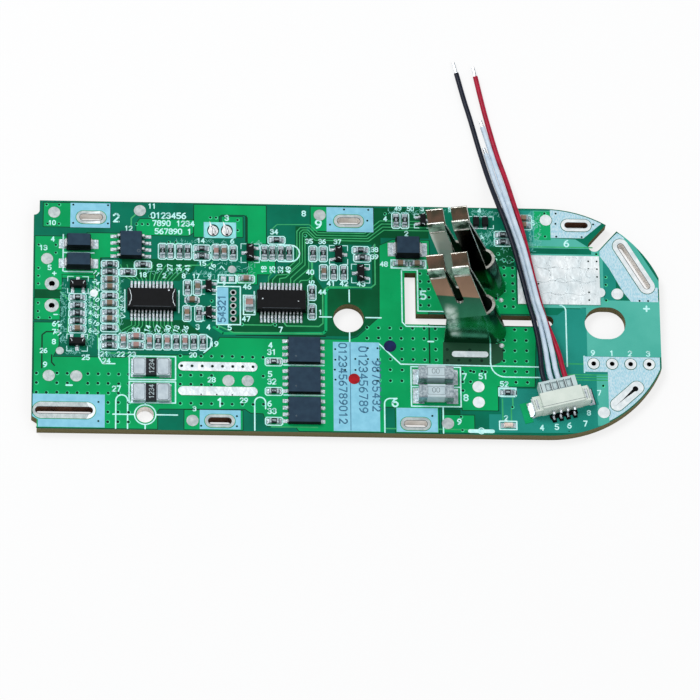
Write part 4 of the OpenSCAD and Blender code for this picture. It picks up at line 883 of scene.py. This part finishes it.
# Figure, x, y and, where they aren't 0.85 and 0, height and turn; an underscore is a gap
FIGURES = """
2 -41 17.9 1.5; 10 -52.4 17.1 0.8; 11 -34.9 20.6; 0123456 -34.4 18.7 1.05; 7890 -34.1 17.25 0.95;
1234 -29.9 17.25 0.95; 567890_1 -33.7 15.7 0.95; 12 -39 16.2; 3 -21.4 18.5 0.95; 4 -51.9 13.9; 13 -53.9 12.2;
5 -52.4 8.4; + -51.6 7.2 1; - -51.3 -0.7 1; 14 -26.3 14.05; 6 -20.4 14.05; 15 -26 9.7 0.8;
16 -23.6 8.7 0.8 60; 7 -21.6 8.8 0.8 60; 8 -28.9 7.2 0.8; 17 -27.1 7.2 0.8; 9 -24.4 7.2 0.8; 2 -32.3 7.2 0.8;
18 -36.4 7.3 0.8; 3 -26.5 -2.6 0.9; 4 -24.6 -2.6 0.9; 5 -20.9 -2.6 0.9; 19 -24 -5.8 0.9; 20 -27.6 -7.9 0.8;
21 -43.1 -8; 22 -40.2 -8; 23 -38.3 -8; 24 -42.7 -9.3; 25 -46.3 -8.7; 6 -51.5 -2.4; 7 -51.5 -3.9;
8 -51.5 -5.8; 26 -53.6 -7.5 0.8; 9 -53 -10.2 0.9; - -49 -14.4 1.6; 27 -41 -14.6 0.95; 28 -24.4 -12.6;
29 -18.8 -16.4; 1 -22.8 -17.2 1.5; 3 -27 -18.1 0.8; 30 -37.6 -3.4; 4 -13.8 -5.9 0.95; 31 -14 -7.2 0.95;
5 -13.9 -11.4 0.95; 32 -14 -12.8 0.95; 6 -14 -17 0.95; 33 -14 -18.4 0.95; 7 -12 -2.9 0.95; 8 -7.8 19.6 0.95;
9 -5.4 17.3 1.5; 34 -13.4 16; 35 -7.2 14.3 0.8; 36 -4.9 14.3 0.8; 37 -2.2 14.3 0.8; 38 4.3 12.9 0.8;
39 4.3 11.5 0.8; 40 -7.1 8.3; 41 -3.5 6.2 0.9; 42 -1.2 6.2 0.9; 43 1.8 6.2 0.9; 44 -5 4.5; 1 -5 0.6;
45 -5.8 5.9 0.8 90; 46 -18.2 5.3 0.9; 47 -18.4 -0.9 0.9; 2 10.3 16.1; 48 5.9 10.1; 49 8.6 21 0.75;
50 10.8 21 0.75; 3 13.2 21 0.75; 4 6.6 18.9; 5 12.9 3.9 1.5; 6 7.7 -16.7 1.5; - 14.1 -5 1.5; 7 20 -11.4 1.1;
8 20.2 -15.4 1.1; 51 22.9 -11.2 0.95; 52 26.6 -12.6 0.9; 9 19 -19.9 0.95; 2 27.2 -19; 53 18.1 21 0.75;
4 23.3 20.8; 6 38.5 14.5 1.2; 7 43.6 -14 0.9; 8 41.7 -17.8; + 52.2 1.9 1.6; 9 42.7 -6.4 0.9; 1 46 -6.4 0.9;
2 49.2 -6.4 0.9; 3 52.4 -6.4 0.9; 4 33.4 -20.8 0.95; 5 36 -20.6 0.95; 6 38.2 -20.3 0.95; 7 41 -19.9 0.95;
54 23.3 15.2 0.8 30; 55 32.1 18.6 0.8; 56 25.2 12.3 0.8 -60; 9 -21.8 5.95 0.7
"""
for entry in FIGURES.split(";"):
    text, *place = entry.split()
    number(text, *map(float, place))
for k, x in enumerate((-33.2, -31.4, -29.8, -28.3, -14.9, -13.4, -12, -10.6)):
    number("%d%d" % (k % 4 + 1, (k * 7) % 10), x + 0.7, 8.6 if k < 4 else 8.5, 0.8, 90)
for k, x in enumerate((-35.4, -33.6, -31.9, -30.4, -28.8)):
    number("%d%d" % (k % 3 + 1, (k * 3 + 4) % 10), x + 0.6, -3.3, 0.8, 70)
for k, y in enumerate((3.6, 1.9, 0.3, -1.4, -3.1)):
    number("%d" % (k + 2), -45.2, y - 0.4, 0.75, 0)
    number("%d%d" % (k % 3 + 1, (k * 7 + 3) % 10), -51.1 if k > 2 else -40.1, y - 0.4, 0.72, -50)
for k, y in enumerate((8.2, 6.5, 5.0, 3.3, 1.7, 0.2, -1.4, -3)):
    number("%d%d" % (k % 3 + 1, (k * 3 + 1) % 10), -44.6, y - 0.3, 0.72, -40)
silk.make("print_lines", "silk", "print")
fine = Flat()
for x0, x1, y0, y1, n in ((-50.2, -49.1, -5.6, 5.8, 90), (-46.5, -44.3, -6.2, 6.2, 150),
    (-40.9, -39.2, -5.6, 7.6, 110), (-49.2, -46.6, -7.6, -6.4, 26), (-43.5, -40, -8.1, -7.1, 26),
    (-39, -29, -3.9, -3.2, 40), (-35.5, -19, 7.9, 8.5, 60), (20.3, 33.4, 14.4, 15.2, 60),
    (26.8, 33.3, 11, 14.2, 60), (32.3, 34.4, 14.4, 21.0, 90), (22.2, 28.6, 20.1, 21.3, 70),
    (23.4, 28, 14.6, 17.4, 90), (7.2, 21, 20.3, 21.3, 60), (-31, -14, 13.9, 14.7, 40),
    (-25.8, -16, 7.1, 10.6, 70), (1.6, 5.4, 11.6, 13.9, 20)):
    for _ in range(n):
        x, y = random.uniform(x0, x1), random.uniform(y0, y1)
        turn = math.radians(random.choice((0, 35, 55, 90, 90, 125, 145)) + random.uniform(-8, 8))
        half = random.uniform(0.12, 0.36)
        dx, dy = half * math.cos(turn), half * math.sin(turn)
        fine.line([(x - dx, y - dy), (x, y + random.uniform(-0.08, 0.08)), (x + dx, y + dy)], 0.075,
            FINE_PRINT_Z)
fine.make("fine_print", "fine_print", "print")

# Plain figures on the printed fields
number("54321", -21.4, -1.1, 1.25, 90, blue, 0.24, FIELD_PRINT_Z)
for text, x, y, h in (("0123456789012", -0.9, -4.9, 1.3), ("0123456789", 2.65, -5.5, 1.4),
    ("98765432", 4.95, -8.1, 1.35)):
    at = 0
    for ch in text:
        number(ch, x - h * 0.5, y - at, h, -90, blue, 0.24, FIELD_PRINT_Z)
        at += h * 0.92
blue.line([(0.4, -4.7), (0.4, -21.3)], 0.12, FIELD_PRINT_Z)
blue.make("field_numbers", "blue_print", "print")


# ---- small relief and marks on the parts, with painted highlights and painted shade

shine, grey, mark, gap = Flat(), Flat(), Flat(), Flat()


def over(name):
    """Height for marks on top of a CAD node."""
    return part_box(name)[1].z / MM - TOP + OVER_PART


outline, lead_gap = Flat(), Flat()


def stadium(cx, cy, turn, length, width):
    r, h = width / 2, (length - width) / 2
    c, s1 = math.cos(math.radians(turn)), math.sin(math.radians(turn))
    pts = [(h + r * math.cos(t), r * math.sin(t)) for t in (math.pi * (k / 8 - 0.5) for k in range(9))]
    pts += [(-q[0], -q[1]) for q in pts]
    return [(cx + q[0] * c - q[1] * s1, cy + q[0] * s1 + q[1] * c) for q in pts]


SLOTS = ((-44.95, 18.65, 0, 4.0, 1.2),
         (-22.35, -19.95, 0, 4.0, 1.2),
         (0.4, 18.75, 0, 4.0, 1.2),
         (11.7, -19.95, 0, 4.0, 1.2),
         (40.65, 18.65, 0, 4.0, 1.0),
         (-49.35, -18.35, 0, 9.9, 1.2),
         (50.65, 10.85, -60, 9.9, 1.1))
for cx, cy, turn, length, width in SLOTS:
    outline.line(stadium(cx, cy, turn, length + 0.08, width + 0.08), 0.09, OVER_LAND_Z, True)
# Painted shade between the controllers' leads
for cx, cy in CONTROLLERS:
    for y0, y1 in ((cy + 1.95, cy + 3.3), (cy - 3.3, cy - 1.95)):
        lead_gap.face(rect(cx - 3.85, y0, cx + 3.85, y1), OVER_MASK_Z)
outline.make("slot_outlines", "outline", "spring_sheet")
lead_gap.make("lead_gaps", "lead_gap", "laminate")
# Painted highlights along the curved ends of the first controller, and on both painted glints and a grey
# moulding line
zc = over("controller_chips")
for side, x in ((1, -38.35), (-1, -30.15)):
    shine.line([(x + side * (0.5 - 0.42 * abs(t) ** 1.8) + wob, 2.75 + 1.6 * t) for t, wob in
                xy("-1,0 -0.8,0.06 -0.62,-0.05 -0.4,0.05 -0.1,0 0.2,0.04 0.45,-0.04 0.7,0.05 1,0")],
               0.1, zc)
shine.disc(-31.3, 4.1, 0.14, zc + 0.004)
shine.disc(-14.9, 2.8, 0.13, zc + 0.004)
shine.disc(-8.65, 2.4, 0.1, zc + 0.004)
for x, y in CONTROLLERS:
    grey.line([(x - 3.3, y - 1.65), (x + 3.3, y - 1.65)], 0.04, zc)
# Marks on the chip resistors
for b in islands("resistor_bodies"):
    cx, cy, z = (b[0] + b[3]) / 2, (b[1] + b[4]) / 2, b[5] - TOP + OVER_PART
    for k in (-1, 0, 1):
        if b[3] - b[0] > b[4] - b[1]:
            number("%d" % random.randrange(1, 9), cx + 0.24 * k - 0.08, cy - 0.15, 0.28, 0, mark, 0.07, z)
        else:
            number("%d" % random.randrange(1, 9), cx + 0.15, cy + 0.24 * k - 0.08, 0.28, 90, mark, 0.07, z)
# Sense resistors: a grey line round each cap, painted shade that makes it look rounded, and plain figures
for b in islands("sense_resistor_ends"):
    z = b[5] - TOP + OVER_PART
    if b[3] - b[0] > 1 and z > 0.3:
        x0, y0, x1, y1 = b[0] + 0.14, b[1] + 0.14, b[3] - 0.14, b[4] - 0.14
        grey.line([(x0 + 0.25, y0), (x1 - 0.25, y0), (x1, y0 + 0.25), (x1, y1 - 0.25), (x1 - 0.25, y1),
            (x0 + 0.25, y1), (x0, y1 - 0.25), (x0, y0 + 0.25)], 0.1, z, True)
for y in (-10.15, -14.95):
    number("1234", -33.85, y - 1.25, 0.8, 90, mark, 0.12, over("sense_resistor_cores"))
# Fuses: a plain pair of figures in a thin frame
zf = over("fuse_bodies")
for y in (-11.05, -14.65):
    number("00", 14.5, y - 0.35, 0.85, 0, grey, 0.08, zf)
    grey.line(rect(13.7, y - 0.75, 16.7, y + 0.75), 0.06, zf, True)
# Pin-one marks of the power parts
for k in range(3):
    number("+", -9.3, -6.55 - 5.68 * k - 1.6, 0.6, 0, grey, 0.06, over("power_transistors"))
grey.ring(-36.6, 11.6, 0.22, 0.3, over("driver_chip"), 16)


def local_frame(x, y, turn):
    """Places points of a turned frame on the board."""
    c, s1 = math.cos(math.radians(turn)), math.sin(math.radians(turn))
    return lambda a, b: (x + a * c - b * s1, y + a * s1 + b * c)


# The filled land's pit and groove, dark as painted shade
pit = local_frame(48.75, -14.1, 43)
gap.disc(*pit(2.05, 0), 0.5, PIT_Z, 16)
gap.face([pit(1.9, 0.3), pit(-0.9, 0.04), pit(-2.9, 0.0), pit(-0.9, -0.06), pit(1.9, -0.3)], GROOVE_Z)
# Mask beside the header's tabs, painted shade under its pins and beside its right tab, and painted shade in the
# gap between the fuses
hdr = local_frame(37.4, -17.2, 14.5)
PINS = (-1.875, -0.625, 0.625, 1.875)
tab_land = Flat()
tab_land.face([hdr(-7.0, -0.75), hdr(-5.5, -0.75), hdr(-5.5, 3.1), hdr(-7.0, 3.1)], OVER_PASTE_Z)
tab_land.make("tab_land_area", "land_green", "laminate")
tab_cover = Flat()
tab_cover.face([hdr(5.95, -0.2), hdr(6.5, -0.2), hdr(6.5, 3.1), hdr(5.95, 3.1)], OVER_PASTE_Z)
tab_cover.make("tab_cover_area", "teal", "laminate")
gap.line([hdr(6.0, -0.1), hdr(6.02, 3.0)], 0.14, PIN_GAP_Z)
for sgn in (-1, 1):
    shine.face([hdr(sgn * 4.62, 0.55), hdr(sgn * 4.2, 0.55), hdr(sgn * 4.2, 2.25), hdr(sgn * 4.62, 2.25)],
        WALL_SHINE_Z)
gap.face([hdr(-2.5, -0.1), hdr(2.5, -0.1), hdr(2.5, -1.0), hdr(-2.5, -1.0)], OVER_PASTE_Z)
for a in PINS:
    gap.face([hdr(a - 0.45, -0.9), hdr(a + 0.45, -0.9), hdr(a + 0.36, -1.7), hdr(a - 0.36, -1.7)], PIN_GAP_Z)
gap.face(xy("14.1,-13.05 16.4,-13.05 16.4,-12.65 14.1,-12.65"), OVER_PASTE_Z)
# Plug: shaded edges of its four windows, and the line where it enters the header
zt = over("wire_plug")
for a in PINS:
    grey.line([hdr(a - 0.42, 4.6), hdr(a - 0.42, 3.2), hdr(a + 0.42, 3.2), hdr(a + 0.42, 4.6)], 0.09, zt)
    gap.line([hdr(a + 0.56, 4.7), hdr(a + 0.56, 2.9)], 0.12, zt + 0.003)
gap.line([hdr(-3.05, 4.7), hdr(-3.05, 2.9)], 0.12, zt + 0.003)
grey.line([hdr(-4.1, 0.35), hdr(4.1, 0.35)], 0.07, over("wire_header"))
for a in PINS:
    gap.face([hdr(a - 0.3, -0.86), hdr(a + 0.3, -0.86), hdr(a + 0.22, -0.72), hdr(a - 0.22, -0.72)],
        PIN_HEIGHT_Z)
for side in (-1, 1):
    for a in (4.35, 4.75):
        grey.line([hdr(side * a, 0.4), hdr(side * a, 2.3)], 0.07, WALL_TOP_Z)
# Painted highlights at both ends of the larger small transistors
for b in islands("small_transistors"):
    if b[5] - b[2] > 0.5 and min(b[3] - b[0], b[4] - b[1]) > 1.0:
        cx, cy, zt2 = (b[0] + b[3]) / 2, (b[1] + b[4]) / 2, b[5] - TOP + OVER_PART
        wide = b[3] - b[0] > b[4] - b[1]
        for sg in (-1, 1):
            pts = xy("-0.22,0.3 0,0.12 0.04,-0.16")
            shine.line([(cx + sg * (0.95 - q[0]), cy + q[1]) if wide else
                        (cx + q[1], cy + sg * (0.95 - q[0])) for q in pts], 0.09, zt2)
shine.make("painted_highlights_and_tab_tops", "shine", "chip_resin")
grey.make("shade_lines", "grey_line", "end_metal")
mark.make("printed_marks", "mark", "print")
gap.make("shaded_gaps", "gap", "chip_resin")


def tube(name, paths, r, key, sides=6):
    """Round bars along polylines, in mm, joined into one piece."""
    v, f = [], []
    for path in paths:
        path = [Vector(q) for q in path]
        base = len(v)
        for i, q in enumerate(path):
            d = (path[min(i + 1, len(path) - 1)] - path[max(i - 1, 0)]).normalized()
            a = d.orthogonal().normalized()
            if abs(d.z) < 0.9:
                a = d.cross(Vector((0, 0, 1))).normalized()
            b = d.cross(a)
            for k in range(sides):
                t = 2 * math.pi * k / sides
                v.append((q + (a * math.cos(t) + b * math.sin(t)) * r) * MM)
        for i in range(len(path) - 1):
            for k in range(sides):
                k2 = (k + 1) % sides
                f.append([base + i * sides + k, base + i * sides + k2, base + (i + 1) * sides + k2,
                          base + (i + 1) * sides + k])
        f.append([base + k for k in range(sides)])
        f.append([base + (len(path) - 1) * sides + k for k in reversed(range(sides))])
    add_piece(name, mesh_of(name, v, f), key, smooth=True)


# Wrinkles in the thick solder of the field
zw = TOP + 0.25
ridges = []
for x in (35.75, 38.7, 41.2):
    ridges.append([(x + 0.16 * math.sin(1.9 * y + x), y, zw) for y in [3.3 + 0.45 * k for k in range(21)]])
for y in (5.2, 7.6, 10.2):
    ridges.append([(x, y + 0.2 * math.sin(1.7 * x + 2 * y), zw) for x in [33.0 + 0.45 * k for k in range(25)]])
for cx, cy, r, a0, a1 in ((37.6, 7.0, 1.2, 20, 150), (40.4, 9.0, 1.1, 200, 320), (34.9, 9.0, 1.0, -40, 90),
    (42.4, 6.4, 1.0, 90, 220), (36.2, 11.2, 0.9, 180, 330), (39.9, 11.4, 1.0, 10, 140),
    (42.9, 9.2, 0.8, 120, 270), (37.0, 4.4, 0.8, 0, 120), (40.0, 5.0, 0.9, 190, 300)):
    ridges.append([(x, y, zw) for x, y in arc(cx, cy, r, a0, a1, 8)])
tube("field_wrinkles", ridges, 0.09, "field")

# Leaf-shaped solder round the two beads, in dark ovals on a paler field
field2, ovals, leaves, notches = Flat(), Flat(), Flat(), Flat()
field2.face(rect(-25.0, 15.02, -19.6, 18.1), BEAD_FIELD_Z)
streaks = []
for x, y in ((-23.5, 16.55), (-21.1, 16.55)):
    ring = [2 * math.pi * k / 28 for k in range(28)]
    ovals.face([(x + 1.06 * math.cos(t), y - 0.05 + 1.2 * math.sin(t)) for t in ring], BEAD_OVAL_Z)
    leaf = [(x + 0.88 * math.cos(t), y - 0.1 + 0.95 * math.sin(t)) for t in ring if math.sin(t) < 0.6]
    tip = [(x + 0.7, y + 0.3), (x - 0.25, y + 0.95), (x - 0.62, y + 1.75), (x - 0.6, y + 0.75)]
    leaves.face(leaf[:1] + tip + [q for q in leaf[1:] if q[1] < y + 0.1], BEAD_LEAF_Z)
    notches.face([(x - 0.3, y - 1.0), (x + 0.05, y - 0.62), (x + 0.35, y - 1.0)], BEAD_NOTCH_Z)
    for dx in (-0.12, 0.34):
        streaks.append([(x + dx * 1.25, y - 0.72, TOP + 0.14), (x + dx, y - 0.35, TOP + 0.4),
                        (x + dx * 0.6 - 0.1, y + 0.25, TOP + 0.42), (x - 0.3 + dx * 0.3, y + 0.78, TOP + 0.16)])
field2.make("bead_field", "bead_field", "print")
ovals.make("bead_ovals", "oval", "laminate")
leaves.make("bead_leaves", "bead", "solder")
notches.make("bead_notches", "gap", "solder")
# Dark grey streaks on the solder beside its ridges: painted shade in the creases
tube("bead_streaks", streaks, 0.045, "grey_line")
tube("bead_ridges", [[(q[0] + 0.14, q[1], q[2]) for q in path] for path in streaks], 0.085, "bead")

# Rounded folds of the clips, under each lip, in the bright edge colour as painted highlight
folds = []
PINCH_Z, FINGER_W, FINGER_GAP = 15.0, 2.85, 1.4
for place in CLIP_PLACES.values():
    left = 5.7 * math.tan(math.radians(12)) - 0.18 * (PINCH_Z - 5.7)
    for side in (-1, 1):
        y = side * (0.375 + 0.25)
        for x0 in (left, left + FINGER_W + FINGER_GAP):
            y_fold = y - (0.22 if side < 0 else 0.12)
            folds.append([CLIP_LEAN @ Vector((x0 + t * FINGER_W, y_fold, PINCH_Z)) + place
                          for t in (0.02, 0.25, 0.5, 0.75, 0.98)])
tube("clip_folds", folds, 0.2, "clip_edge", 10)


# Mask in the shade of the clips
shade = Flat()
shade.face(xy("16.7,-4.3 26.9,-4.3 27.25,-4.9 27.2,-7.4 26.6,-8.1 24.6,-8.9 16.6,-9"), SHADE_Z)
shade.make("clip_shade", "shade", "laminate")
# A pale line along the front clip's foot: painted highlight on its lower edge
foot_highlight = Flat()
foot_highlight.line([(16.75, -4.12), (26.2, -4.4)], 0.12, OVER_MASK_Z)
foot_highlight.make("clip_foot_line", "via_rim", "spring_sheet")


# Solder that climbs the ends of the chip parts
def fillets():
    v, f = [], []
    bodies = [((b[0] + b[3]) / 2, (b[1] + b[4]) / 2)
              for b in islands("resistor_bodies") + islands("capacitor_bodies")]
    for e in ENDS:
        cx, cy = (e[0] + e[3]) / 2, (e[1] + e[4]) / 2
        bx, by = min(bodies, key=lambda q: (q[0] - cx) ** 2 + (q[1] - cy) ** 2)
        dx, dy = cx - bx, cy - by
        along_x = abs(dx) > abs(dy)
        sg = 1 if (dx if along_x else dy) > 0 else -1
        half = ((e[4] - e[1]) if along_x else (e[3] - e[0])) / 2 * 0.94
        face = (e[3] if sg > 0 else e[0]) if along_x else (e[4] if sg > 0 else e[1])
        h = (e[5] - TOP) * 0.82
        base = len(v)
        prof = [(-0.02, h), (0.05, h * 0.62), (0.14, h * 0.36), (0.26, 0.16), (0.36, 0.065)]
        for out, z in prof:
            w = half * (1 - 0.25 * out)
            for side in (-1, 0, 1):
                o2 = out * (1.0 if side == 0 else 0.72)
                q = (face + sg * o2, cy + side * w) if along_x else (cx + side * w, face + sg * o2)
                v.append((q[0] * MM, q[1] * MM, (TOP + z) * MM))
        for i in range(len(prof) - 1):
            for k in (0, 1):
                f.append([base + 3 * i + k, base + 3 * i + k + 1, base + 3 * i + k + 4, base + 3 * i + k + 3])
    add_piece("chip_fillets", mesh_of("chip_fillets", v, f), "pads", smooth=True)


fillets()


# ---- floor and light

def floor():
    """A pale plane; three quarters of what the camera sees of it is plain white, for an even ground."""
    m = surface("floor", (242, 243, 244), (238, 239, 240), scale=3, rough=0.85, spec=0.1)
    bpy.ops.mesh.primitive_plane_add(size=8, location=(0, 0, -0.00002))
    o = bpy.context.object
    o.name = "floor"
    o.data.materials.append(m)
    nt = m.node_tree
    white = node(nt, "Emission", {"Color": (1, 1, 1, 1), "Strength": 1.0})
    share = calc(nt, "MULTIPLY", node(nt, "LightPath", {}).outputs["Is Camera Ray"], 0.75)
    mix = node(nt, "MixShader", {0: share, 1: nt.nodes["Principled BSDF"].outputs[0], 2: white.outputs[0]})
    nt.links.new(mix.outputs[0], nt.nodes["Material Output"].inputs["Surface"])


floor()
world = bpy.data.worlds.new("world")
scene.world = world
world.use_nodes = True
bg = world.node_tree.nodes["Background"]
bg.inputs["Color"].default_value = (1, 1, 1, 1)
bg.inputs["Strength"].default_value = 0.56


def area(name, where, at, size, watt):
    d = bpy.data.lights.new(name, "AREA")
    d.shape = "DISK"
    d.size = size
    d.energy = watt
    o = bpy.data.objects.new(name, d)
    o.location = where
    o.rotation_euler = (Vector(at) - Vector(where)).to_track_quat("-Z", "Y").to_euler()
    scene.collection.objects.link(o)


area("key", (-0.45, 0.35, 0.9), (0, 0, 0), 0.5, 5.6)
area("fill", (0.6, -0.5, 0.8), (0, 0, 0), 0.7, 2.0)

scene.view_settings.view_transform = "Standard"
